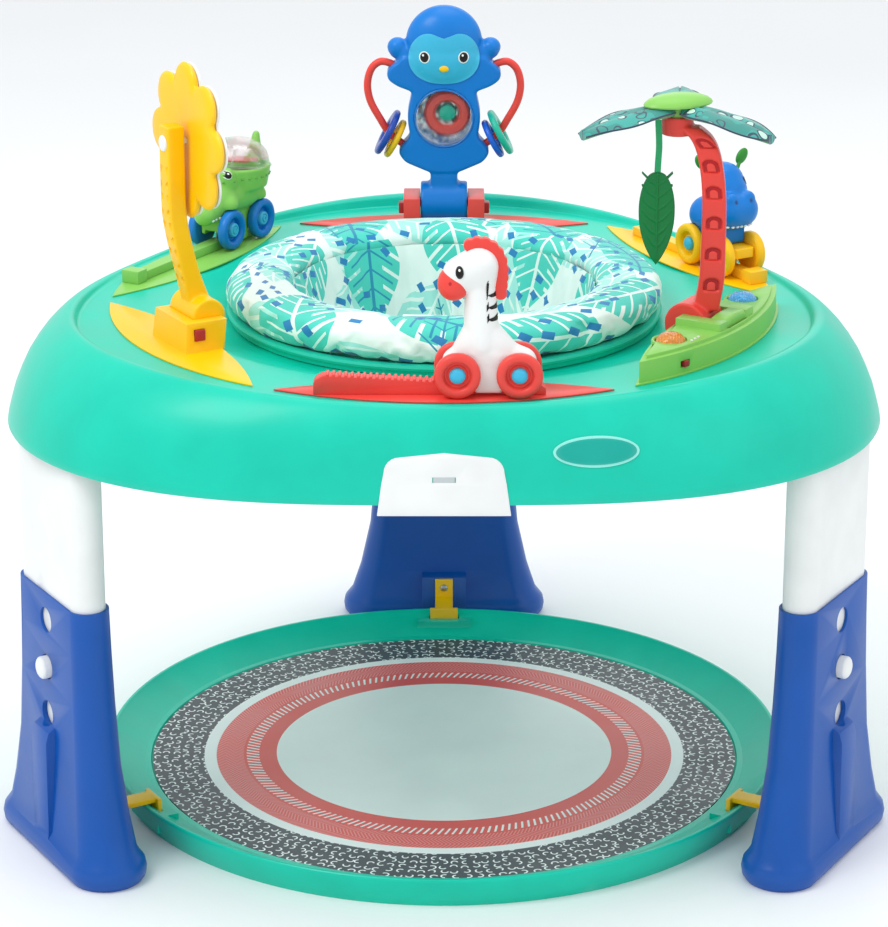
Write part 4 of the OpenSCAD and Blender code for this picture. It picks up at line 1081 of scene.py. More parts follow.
def wheels(name, forward, material, slot):
    """Both wheel pairs of a toy car: rounded tread, sunk ring and a raised lip round the hub"""
    base = car_frame(name, forward)
    r = WHEEL_R
    profile = [(2.6, 14.2), (r - 3, 13.5), (r - 0.9, 14.3), (r, 16.2), (r, 20.4), (r - 0.8, 22.4),
               (r - 2.6, 23.4),
               (r - 5.2, 23.5), (r - 7.2, 22.7), (r - 8.4, 21.2), (r - 9, 19.0), (r - 9.6, 17.2),
               (r - 11.2, 16.9),
               (r - 11.9, 17.8), (r - 12.6, 18.1), (2.6, 18.1)]
    for end, x in (("front", 28), ("rear", -28)):
        bm = bmesh.new()
        for s in (-1, 1):
            turn = Matrix.Rotation(radians(-90 * s), 4, "X")
            lathe(bm, profile, base @ Matrix.Translation((x, 0, 0)) @ turn, 72)
        node_name = "%s_wheels_%s" % (name, end)
        part(bm, node_name + "_moulding", material, node_name, slot, [node_name], sharp=50)


def hubs(name, forward, material, ridged=False):
    """Pressed axles with a domed cap at each end"""
    base = car_frame(name, forward)
    cap = [(0, 23.2), (2.4, 23.1), (5.2, 22.4), (6.9, 21.0), (7.4, 19.6), (7.4, 18.6), (0, 18.6)]
    if ridged:
        cap = [(0, 22.8), (1.6, 22.8), (1.9, 23.6), (3.2, 23.6), (3.5, 22.2), (4.6, 22.2), (4.9, 23.0),
               (6.3, 23.0),
               (7.2, 22.0), (7.4, 18.6), (0, 18.6)]
    bm = bmesh.new()
    for x in (28, -28):
        barrel(bm, base @ Vector((x, 0, 0)), base.to_3x3() @ Vector((0, 1, 0)), 2.5, 2.5, 40, 32)
        for s in (-1, 1):
            turn = Matrix.Rotation(radians(-90 * s), 4, "X")
            lathe(bm, cap, base @ Matrix.Translation((x, 0, 0)) @ turn, 40)
    part(bm, name + "_axles_pressed", material, name, "sky", [name + "_axles"], sharp=45)


def rail_cut():
    bm = bmesh.new()
    block(bm, (-90, -8.2, -40), (90, 8.2, -1.4))
    return bm


def arch_cut(radius=22.2):
    bm = bmesh.new()
    for x in (-28, 28):
        for s in (-1, 1):
            barrel(bm, (x, s * 33.3, 0), (0, 1, 0), radius, radius, 40)
    return bm


def eye(body_bm, place, name, body, point, width, height, white_ring=0.0, roll=0.0, glint=(0.3, 0.35)):
    """Printed eye: black oval with a small glint, in a white ring where it has one"""
    done = finishes()
    side = facing(Vector(point), (0, 1 if point[1] > 0 else -1, 0), roll)
    if white_ring:
        decal(body_bm, oval(width + white_ring, height + white_ring), side, name + "_ring", done["glint"],
              body,
              "white", place, 0.2, 0.3)
    decal(body_bm, oval(width, height), side, name, done["ink"], body, "white", place, 0.45, 0.5)
    up = side.to_3x3().inverted() @ UP
    at = side @ Matrix.Translation(Vector((up.x, up.y, 0)) * height * glint[1])
    decal(body_bm, oval(width * 0.26, width * 0.3, 14), at, name + "_glint", done["glint"], body, "white",
          place, 0.9, 0.3, 1)


class ActivityTableTracks(bpy.types.Operator):
    """Car tracks with their rails"""
    bl_idname = "activity_table.tracks"
    bl_label = "Tracks"

    def execute(self, context):
        done = finishes()
        for name, key in (("zebra", "coral"), ("gator", "green"), ("hippo", "yellow")):
            refined(name + "_track", done[key], "table", key, 0.7, 30)
        return {"FINISHED"}


class ActivityTableZebra(bpy.types.Operator):
    """Zebra on wheels: white body, coral muzzle and mane, printed eyes and stripes"""
    bl_idname = "activity_table.zebra"
    bl_label = "Zebra"

    def execute(self, context):
        done = finishes()
        place = car_frame("zebra", ZEBRA_AT - 90)
        bm = bmesh.new()
        hull(bm, [((-31, 0, 8), 13), ((29, 0, 8), 13), ((7, 0, 22), 15)])
        hull(bm, [((-14, 0, 18), 13), ((20, 0, 18), 13), ((7, 0, 40), 14.5)])
        hull(bm, [((6, 0, 26), 16.5), ((7.5, 0, 78), 14.2)])
        hull(bm, [((9, 0, 97), 18.5), ((26, 0, 90), 15.5), ((7, 0, 84), 14.5)])
        block(bm, (-13, -12.6, -18.5), (13, 12.6, 8))
        block(bm, (-38, -12.6, -6), (38, 12.6, 8))
        body = fused(bm, 1.3, 6, [rail_cut(), arch_cut()])
        shape = body.copy()
        part(body, "zebra_body_moulding", done["white"], "zebra", "white", ["zebra_body"], place)
        bm = bmesh.new()
        ball(bm, (30.5, 0, 82), 15.2, (1.0, 1.0, 1.12), Matrix.Rotation(radians(-24), 4, "Y"), 48)
        muzzle = bm.copy()
        part(bm, "zebra_muzzle", done["coral"], "zebra", "coral", ["zebra_trim"], place)
        for k, s in enumerate((-1, 1)):
            # painted shade: the nostril dimples are drawn as thin darker coral marks on an undented muzzle
            decal(muzzle, oval(1.5, 1.9, 16), facing((40, s * 30, 86), (0.35, s, 0.1)),
                  "zebra_nostril_%d" % k,
                  done["deep_coral"], "zebra", "coral", place, 0.05, 0.15, 1)
            eye(shape, place, "zebra_eye_%d" % k, "zebra", (26, s * 40, 95), 3.6, 5.6)
            for n, height in enumerate((74, 63, 52)):
                crescent = [(-15, 7.5), (-9, 3.4), (-4.5, 0.6), (1.5, -0.6), (-2.5, -3.0), (-7.5, -3.4),
                            (-13, -0.4)]
                side = Matrix.Translation((0, s * 40, height)) @ Matrix(((1, 0, 0, 0), (0, 0, s, 0),
                                                                         (0, 1, 0, 0), (0, 0, 0, 1)))
                decal(shape, crescent, side, "zebra_stripe_%d_%d" % (k, n), done["ink"], "zebra", "white",
                      place, 0.2, 0.35, 3)
        bm = bmesh.new()
        crest = [(17, 116.5), (10.5, 118.5), (3.5, 118), (-3, 114.5), (-8, 109), (-11, 102), (-12.2, 94.5),
                 (-12.2, 87),
                 (-11.5, 79.5), (-10.8, 72)]
        for x, z in crest:
            barrel(bm, (x, 0, z), (0, 1, 0), 5.6, 5.6, 9, 40)
        hull(bm, [((6, 0, 104), 4.2), ((-6, 0, 80), 4.2), ((-3, 0, 106), 4.2), ((-6.5, 0, 76), 4.2)])
        mane = fused(bm, 0.8, 3)
        part(mane, "zebra_mane", done["coral"], "zebra", "coral", matrix=place)
        wheels("zebra", ZEBRA_AT - 90, done["coral"], "coral")
        hubs("zebra", ZEBRA_AT - 90, done["sky"])
        return {"FINISHED"}


class ActivityTableCrocodile(bpy.types.Operator):
    """Crocodile on wheels with a clear dome over a grille"""
    bl_idname = "activity_table.crocodile"
    bl_label = "Crocodile"

    def execute(self, context):
        done = finishes()
        place = car_frame("gator", GATOR_AT + 90)
        bm = bmesh.new()
        hull(bm, [((-14, 0, 34), 24), ((14, 0, 30), 20), ((-28, 0, 34), 19)])
        hull(bm, [((20, 0, 34), 19), ((50, 0, 18), 11.5), ((44, 0, 26), 10)])
        for s in (-1, 1):
            hull(bm, [((24, s * 10.5, 56), 8.5), ((20, s * 9, 46), 10)])
            hull(bm, [((26, s * 15, 26), 9.5), ((20, s * 10, 34), 9)])
            hull(bm, [((-27, s * 15, 26), 9.5), ((-22, s * 10, 34), 9)])
        hull(bm, [((-36, 0, 32), 12), ((-46, 0, 60), 8), ((-49.5, 0, 84), 4)])
        barrel(bm, (-14, 0, 48), (0, 0, 1), 30, 34.5, 24)
        block(bm, (-13, -12.6, -18.5), (13, 12.6, 16))
        block(bm, (-40, -12.6, -6), (40, 12.6, 16))
        bowl = bmesh.new()
        ball(bowl, (-14, 0, 64), 31, (1, 1, 0.5), detail=48)
        body = fused(bm, 1.4, 8, [rail_cut(), arch_cut(), bowl])
        shape = body.copy()
        part(body, "crocodile_body_moulding", done["green"], "gator", "green", ["gator_body"], place)
        skin = BVHTree.FromBMesh(shape)
        bm = bmesh.new()
        for k in range(26):
            turn = 2 * pi * k / 26
            hit = skin.ray_cast(Vector((-14 + 70 * cos(turn), 70 * sin(turn), 50)),
                                Vector((-cos(turn), -sin(turn), 0)))[0]
            if hit:
                ball(bm, hit, 1.7, (1, 1, 0.8), detail=12)
        part(bm, "crocodile_scales", moulded("moulded_plastic_scale_green", srgb("5fa53c")), "gator",
             "green", matrix=place)
        bm = bmesh.new()
        for s in (-1, 1):
            for k in range(7):
                hit = skin.ray_cast(Vector((57 - 5 * k, s * 60, 13 + 0.5 * k)), Vector((-0.15, -s, 0)))[0]
                if hit:
                    ball(bm, hit, 2.1, (1, 0.6, 0.75), detail=12)
        part(bm, "crocodile_teeth", done["white"], "gator", "green", matrix=place)
        for k, s in enumerate((-1, 1)):
            eye(shape, place, "crocodile_eye_%d" % k, "gator", (29, s * 40, 58), 2.7, 3.6, 0.8)
        tilt = place @ Matrix.Translation((-14, 0, 60)) @ Matrix.Rotation(radians(-7), 4, "Y")
        bm = bmesh.new()
        dome = [(33.2, 0.5), (33.0, 3.5), (31.8, 9), (29.4, 14.5), (25.6, 19.4), (20.4, 23.4), (14, 26),
                (7, 27.4), (0.005, 27.8)]
        inner = [(r - 1.5 if r > 2 else r, h - 1.5) for r, h in reversed(dome)]
        lathe(bm, dome + inner[0:1] + inner[1:], tilt, 72)
        part(bm, "crocodile_dome_moulding", done["clear"], "gator", "clear", ["gator_dome"], sharp=60)
        bm = bmesh.new()
        lathe(bm, [(31, -1.2), (34.6, -1.2), (35.4, 0.2), (34.6, 1.6), (33.2, 2.2), (31, 1.2)], tilt, 96)
        for turn in (20, 140, 260):
            pipe(bm, [tilt @ Vector((x * cos(radians(turn)), x * sin(radians(turn)), h))
                      for x, h in ((30, 2), (25, 10), (18, 14), (8, 15))], 1.5, 10)
        part(bm, "crocodile_dome_ribs", done["clear"], "gator", "clear")
        bm = bmesh.new()
        slab(bm, rounded([(-22, -14), (10, -18), (24, 0), (10, 18), (-22, 14)], 9), 0, 1.6,
             tilt @ Matrix.Translation((0, 0, 3)), 0.4)
        part(bm, "crocodile_grille", mesh_tray("moulded_grille_coral_painted_hole_shade", srgb("d9564c")), "gator", "coral")
        wheels("gator", GATOR_AT + 90, done["toy_blue"], "toy_blue")
        hubs("gator", GATOR_AT + 90, done["sky"], True)
        return {"FINISHED"}


class ActivityTableHippo(bpy.types.Operator):
    """Hippo riding on a yellow cart"""
    bl_idname = "activity_table.hippo"
    bl_label = "Hippo"

    def execute(self, context):
        done = finishes()
        place = car_frame("hippo", HIPPO_AT - 90)
        bm = bmesh.new()
        hull(bm, [((-24, 0, 30), 19), ((4, 0, 30), 17)])
        hull(bm, [((6, 0, 22), 14), ((16, 0, 40), 16)])
        hull(bm, [((2, 0, 68), 22), ((8, 0, 60), 22)])
        hull(bm, [((25, 6, 45), 18.5), ((25, -6, 45), 18.5), ((10, 0, 48), 19)])
        for s in (-1, 1):
            ball(bm, (31, s * 10, 57), 8.5)
        block(bm, (-34, -12.6, 10), (26, 12.6, 26))
        floor_cut = bmesh.new()
        block(floor_cut, (-90, -60, -50), (90, 60, 9.2))
        body = fused(bm, 1.4, 8, [floor_cut, arch_cut()])
        shape = body.copy()
        part(body, "hippo_body_moulding", done["toy_blue"], "hippo", "toy_blue", ["hippo_body"], place)
        skin = BVHTree.FromBMesh(shape)
        for k, s in enumerate((-1, 1)):
            eye(shape, place, "hippo_eye_%d" % k, "hippo", (17, s * 40, 72), 2.9, 4.4)
            decal(shape, oval(1.8, 2.4, 16), facing((60, s * 9, 60), (1, 0, 0.15)), "hippo_nostril_%d" % k,
                  moulded("moulded_plastic_deep_blue_%d" % k, srgb("054a8c")), "hippo", "toy_blue", place,
                  0.05, 0.15, 1)
            bm = bmesh.new()
            pipe(bm, [(1, s * 17, 79), (0, s * 20, 84), (-1, s * 22, 87)], [2.2, 2.0, 2.0], 12)
            ball(bm, (-2, s * 25, 92), 8, (0.45, 0.75, 1.15), Matrix.Rotation(radians(-34 * s), 4, "X"), 28)
            part(fused(bm, 0.7, 3), "hippo_ear_%d" % k, done["ear_green"], "hippo", "green", matrix=place)
        bm = bmesh.new()
        for k in range(9):
            turn = radians(-64 + 16 * k)
            hit = skin.ray_cast(Vector((20 + 60 * cos(turn), 60 * sin(turn), 30.5)),
                                Vector((-cos(turn), -sin(turn), 0)))[0]
            if hit:
                ball(bm, hit, 1.9, (1, 1, 0.8), detail=12)
        part(bm, "hippo_teeth", done["white"], "hippo", "white", matrix=place)
        bm = bmesh.new()
        slab(bm, rounded([(-44, -12.6), (44, -12.6), (44, 12.6), (-44, 12.6)], 5), -1.3, 9, rounding=1.2)
        for s in (-1, 1):
            slab(bm, rounded([(-13, s * 8.4), (13, s * 8.4), (13, s * 12.6), (-13, s * 12.6)], 1), -18, -1,
                 rounding=0.5)
        part(bm, "hippo_cart_moulding", done["yellow"], "hippo", "yellow", ["hippo_cart"], place)
        wheels("hippo", HIPPO_AT - 90, done["yellow"], "yellow")
        hubs("hippo", HIPPO_AT - 90, done["sky"])
        return {"FINISHED"}


# ---------------------------------------------------------------- monkey

class ActivityTableMonkey(bpy.types.Operator):
    """Rocking monkey with a clear belly drum, two loop handles and their loose rings"""
    bl_idname = "activity_table.monkey"
    bl_label = "Monkey"

    def execute(self, context):
        done = finishes()
        y = middle("monkey_lens").y
        belly = middle("monkey_lens").z
        head = belly + 80
        barrel_z = PLATE_Z + 23
        refined("monkey_base", done["coral"], "table", "coral", 0.9, 30)
        for side in ("left", "right"):
            refined("monkey_latch_" + side, done["red"], "monkey_latch_" + side, "red", 1.4)
        bm = bmesh.new()
        barrel(bm, (0, y, barrel_z), (1, 0, 0), 22.4, 22.4, 49.6, 96)
        front = Matrix(((1, 0, 0, 0), (0, 0, -1, y), (0, 1, 0, 0), (0, 0, 0, 1)))
        neck = [(-14.4, -84), (14.4, -84), (14.4, -60), (-14.4, -60)]
        slab(bm, neck, -13, 13, front @ Matrix.Translation((0, belly, 0)), 2.5)
        torso = [(14, -60), (42, -48), (48.5, -38), (46, -31), (35.5, -21), (38, -8), (38.5, 6), (35, 22),
                 (34, 28), (50, 34),
                 (59.5, 41), (60.5, 50), (54, 57), (49, 60), (44, 66)]
        outline = torso + [(-x, z) for x, z in reversed(torso)]
        slab(bm, rounded(outline, 6), -14, 14, front @ Matrix.Translation((0, belly, 0)), 5.5, 4)
        for s in (-1, 1):
            ball(bm, (s * 49, y, head - 6), 11, (1.0, 1.0, 0.95), detail=40)
            hull(bm, [((s * 49, y, head - 9), 9.5), ((s * 30, y, head - 14), 13)])
        ball(bm, (0, y, head - 1), 40.5, (1.0, 0.6, 0.98), detail=64)
        ball(bm, (0, y, head - 14), 40.5, (1.0, 0.6, 0.84), detail=64)
        drum = bmesh.new()
        barrel(drum, (0, y, belly), (0, 1, 0), 31.6, 31.6, 90, 96)
        body = fused(bm, 1.3, 7, [drum])
        skin = body.copy()
        part(body, "monkey_body_moulding", done["toy_blue"], "monkey", "toy_blue", ["monkey_body"])
        aim = Matrix.Translation((0, y - 90, head - 15)) @ Matrix.Rotation(radians(90), 4, "X")
        decal(skin, self.face_outline(), aim, "monkey_face_moulding", done["sky"], "monkey", "sky",
              lift=0.5, thick=2.4,
              cuts=4, stands_for=["monkey_face"])
        shape = bmesh.new()
        shape.from_mesh(bpy.data.objects["monkey_face_moulding"].data)
        bmesh.ops.scale(shape, vec=(1 / MM,) * 3, verts=shape.verts)
        for k, s in enumerate((-1, 1)):
            at = Matrix.Translation((s * 20.5, y - 60, head - 12.5)) @ Matrix.Rotation(radians(90), 4, "X")
            decal(shape, oval(5.6, 6.4), at, "monkey_eye_ring_%d" % k, done["glint"], "monkey", "white",
                  lift=0.2, thick=0.3)
            decal(shape, oval(4.4, 5.3), at, "monkey_eye_%d" % k, done["ink"], "monkey", "white", lift=0.45,
                  thick=0.5)
            spot = at @ Matrix.Translation((-1.2, 2.2, 0))
            decal(shape, oval(1.1, 1.2, 14), spot, "monkey_eye_glint_%d" % k, done["glint"], "monkey",
                  "white",
                  lift=0.9, thick=0.3, cuts=1)
        bm = bmesh.new()
        tip = BVHTree.FromBMesh(shape).ray_cast(Vector((0, y - 90, head - 24.5)), Vector((0, 1, 0)))[0]
        ball(bm, tip, 5, (1, 0.42, 0.7), detail=32)
        part(bm, "monkey_nose", done["yellow"], "monkey", "yellow")
        self.belly(done, y, belly)
        self.loops(done, y)
        return {"FINISHED"}

    def face_outline(self):
        """Rounded face with two arches over the eyes"""
        points = [(0, 22.5), (6, 24.6), (15, 27.2), (25, 24.5), (33.5, 15), (37.3, 2), (35.5, -9.5),
                  (28, -19.5),
                  (15, -25.8), (0, -27.3)]
        right = [(p.x, p.y) for p in smooth_path([(x, z, 0) for x, z in points], 5)]
        return right[::-1] + [(-x, z) for x, z in right[1:-1]]

    def belly(self, done, y, belly):
        """Clear drum with a coral ring, a teal centre and silvery foil inside"""
        turn = Matrix.Translation((0, y, belly)) @ Matrix.Rotation(radians(90), 4, "X")
        bm = bmesh.new()
        lathe(bm, [(29.6, -14), (31.3, -14.6), (31.5, 14.2), (30.6, 15), (29.6, 14.4)], turn, 96)
        part(bm, "monkey_drum_rim", done["toy_blue"], "monkey", "toy_blue")
        for k, s in enumerate((-1, 1)):
            bm = bmesh.new()
            lathe(bm, [(0.005, s * 18.6), (12, s * 18.2), (22, s * 17.2), (29.6, s * 15.2),
                       (29.6, s * 14.2), (0.005, s * 16.4)],
                  turn, 96)
            part(bm, "monkey_drum_window_%d" % k, done["clear"], "monkey", "clear", ["monkey_lens"])
        bm = bmesh.new()
        lathe(bm, [(0.005, -6), (28.3, -6), (28.3, -4), (0.005, -4)], turn, 64)
        foil = blank("vacuum_metallised_foil")
        point = add(foil[1], "ShaderNodeTexCoord").outputs["Object"]
        crinkle = add(foil[1], "ShaderNodeTexVoronoi", {"Vector": point, "Scale": 150.0})
        bump = add(foil[1], "ShaderNodeBump",
                   {"Height": crinkle.outputs[0], "Distance": 0.003, "Strength": 0.9})
        join(foil[1], foil[2], {"Normal": bump})
        varied(foil[1], foil[2], srgb("eceeee"), point, 0.3, 0.1, 6)
        foil[2].inputs["Metallic"].default_value = 1.0
        part(bm, "monkey_drum_foil", foil[0], "monkey", "clear")
        off = turn @ Matrix.Translation((3.5, 3.5, 0))
        bm = bmesh.new()
        lathe(bm, [(12.5, 1), (15, -2), (21, -3.2), (24.5, 0), (24.6, 5), (21.5, 8.6), (15.6, 8.2),
                   (12.6, 5)], off, 72)
        part(bm, "monkey_drum_spinner", done["coral"], "monkey", "coral")
        bm = bmesh.new()
        lathe(bm, [(0.005, 6.5), (5, 6.2), (8.4, 4.8), (9.4, 2), (9.4, -3), (0.005, -3)], off, 48)
        part(bm, "monkey_drum_spinner_hub", done["ring_teal"], "monkey", "teal")

    def loops(self, done, y):
        """Coral loop handles with two loose rings on each"""
        route = [(-50, 172), (-58, 176), (-68, 177), (-77, 169), (-81, 153), (-78, 135), (-68, 116),
                 (-57, 99), (-40, 86)]
        for side, s in (("left", 1), ("right", -1)):
            bm = bmesh.new()
            pipe(bm, smooth_path([(s * x, y, DECK_Z + h) for x, h in route], 6), 4, 24,
                 about=Vector((0, 1, 0)))
            extra = {"stands_for": ["monkey_loops"]} if side == "left" else {}
            part(bm, "monkey_loop_" + side, done["coral"], "monkey", "coral", **extra)
            pair = (((-60, 101, 26), "ring_blue" if s > 0 else "ring_teal"),
                    ((-52, 94, 22), "ring_yellow" if s > 0 else "ring_cobalt"))
            for k, ((x, h, r), key) in enumerate(pair):
                matrix = (Matrix.Translation((s * x, y, DECK_Z + h)) @ Matrix.Rotation(radians(-62 * s), 4,
                                                                                       "Y"))
                bm = bmesh.new()
                profile = [(12, -1.2), (12.8, -2.6), (15, -3.4), (r - 4, -3.5), (r - 1.6, -3.0),
                           (r - 0.3, -1.7), (r, 0),
                           (r - 0.3, 1.7), (r - 1.6, 3.0), (r - 4, 3.5), (15, 3.4), (12.8, 2.6), (12, 1.2)]
                lathe(bm, profile, matrix, 72)
                node_name = "monkey_rings_" + side
                part(bm, "%s_%d" % (node_name, k), done[key], node_name, "leg_blue" if s > 0 else "teal",
                     [node_name], sharp=60)


# ---------------------------------------------------------------- flower

def petal_outline(radius, lobes=8, steps=160):
    """Soft scalloped edge"""
    points = []
    for i in range(steps):
        turn = 2 * pi * i / steps
        off = (turn * lobes / (2 * pi) + 0.5) % 1 - 0.5
        angle = off * 2 * pi / lobes
        r = 0.72 * radius * cos(angle) + max(0.0,
                                             (0.28 * radius) ** 2 - (0.72 * radius * sin(angle)) ** 2) ** 0.5
        r = max(r, 0.8 * radius)
        points.append((r * cos(turn), r * sin(turn)))
    return points


class ActivityTableFlower(bpy.types.Operator):
    """Flower that spins on a bowed arm, with its latched foot"""
    bl_idname = "activity_table.flower"
    bl_label = "Flower"

    def execute(self, context):
        done = finishes()
        place = station(FLOWER_AT)
        refined("flower_base", done["yellow"], "table", "yellow", 0.9, 25)
        refined("flower_pin", done["white"], "table", "white", 0.5)
        refined("flower_latch", done["red"], "flower_latch", "red", 1.4)
        bm = bmesh.new()
        barrel(bm, (ARM_R - 22, 0, DECK_Z + 30), (0, 1, 0), 17, 17, 52, 72)
        path = smooth_path([(ARM_R - 22, 0, DECK_Z + 36), (ARM_R - 12, 0, DECK_Z + 70),
                            (ARM_R - 3, 0, DECK_Z + 110),
                            (ARM_R, 0, DECK_Z + 140), (ARM_R, 0, FLOWER_Z + 16)], 6)
        rings = []
        for i, p in enumerate(path):
            wide = 10.5
            deep = 9 + 2.5 * max(0.0, 1 - i / 6)
            along = (path[min(i + 1, len(path) - 1)] - path[max(i - 1, 0)]).normalized()
            out = Vector((0, 1, 0)).cross(along).normalized()
            rings.append([p + out * (deep * x) + Vector((0, wide * y, 0)) for x, y in BOX_ROUND])
        loft(bm, rings)
        # shallow triangular pockets down the outer face, between crossing ribs
        cut = bmesh.new()
        for k in range(9):
            height = DECK_Z + 62 + k * 13.5
            h = height - DECK_Z
            x = 9.4 + (270 + (h - 36) * 0.294 if h < 70 else 280 + (h - 70) * 0.225 if h < 110 else
                       min(ARM_R, 289 + (h - 110) * 0.1))
            for s in (-1, 1):
                tip = 2.0 if (k + (s > 0)) % 2 else 0.0
                outline = [(s * 8, -5.2), (s * 8, 5.2), (s * (1.8 + tip), 0.0 if k % 2 else 3.4)]
                frame_here = Matrix.Translation((x, 0, height)) @ Matrix(((0, 0, 1, 0), (1, 0, 0, 0),
                                                                          (0, 1, 0, 0), (0, 0, 0, 1)))
                slab(cut, outline, -2.2, 8, frame_here)
        body = fused(bm, 1.0, 3, [cut, self.pin_cut()])
        part(body, "flower_arm_moulding", done["yellow"], "table", "yellow", ["flower_arm"], place)
        # petals, cushioned towards their edge
        axis = place @ Matrix.Translation((ARM_R - 20, 0, FLOWER_Z)) @ Matrix.Rotation(radians(90), 4, "Y")
        bm = bmesh.new()
        outline = petal_outline(PETAL_R)
        rows = [(0.05, 6.2), (0.2, 6.4), (0.5, 6.8), (0.8, 7.6), (0.94, 7.0), (0.985, 5.6), (1.0, 4.0),
                (0.985, 1.6), (0.95, 0.4),
                (0.8, 0.1), (0.05, 0.1)]
        loft(bm, [[(x * f, y * f, z) for x, y in outline] for f, z in rows], closed=True)
        part(bm, "flower_petals", done["yellow"], "flower", "yellow", ["flower_head"], axis)
        bm = bmesh.new()
        slab(bm, [(x * 0.985, y * 0.985) for x, y in outline], -2.45, -0.05, axis, 0.7)
        part(bm, "flower_back_plate", done["white"], "flower", "white", ["flower_face"])
        # raised eye and petal beads on the child's side
        bm = bmesh.new()
        for k in range(8):
            turn = 2 * pi * (k + 0.5) / 8
            ball(bm, axis @ Vector((44 * cos(turn), 44 * sin(turn), -2.2)), 1, turn=axis.to_3x3().to_4x4(),
                 scale=(14, 14, 1.6))
        part(bm, "flower_petal_beads", done["yellow"], "flower", "yellow")
        bm = bmesh.new()
        ball(bm, axis @ Vector((0, 0, -2.2)), 1, turn=axis.to_3x3().to_4x4(), scale=(18, 18, 3.2), detail=48)
        part(bm, "flower_eye", done["coral"], "flower", "coral")
        return {"FINISHED"}

    def pin_cut(self):
        cut = bmesh.new()
        barrel(cut, (ARM_R, 0, FLOWER_Z), (1, 0, 0), 6.1, 6.1, 60, 48)
        return cut


BOX_ROUND = [(max(-1, min(1, 1.32 * cos(2 * pi * k / 32))),
              max(-1, min(1, 1.32 * sin(2 * pi * k / 32)))) for k in range(32)]
ARM_R = 292
FLOWER_Z = middle("flower_pin").z
PETAL_R = (span("flower_head")[1].z - span("flower_head")[0].z) / 2
TRUNK_R = 290
CAP_R = 252
PALM_TOP = span("palm_cap")[0].z + 12


# ---------------------------------------------------------------- palm

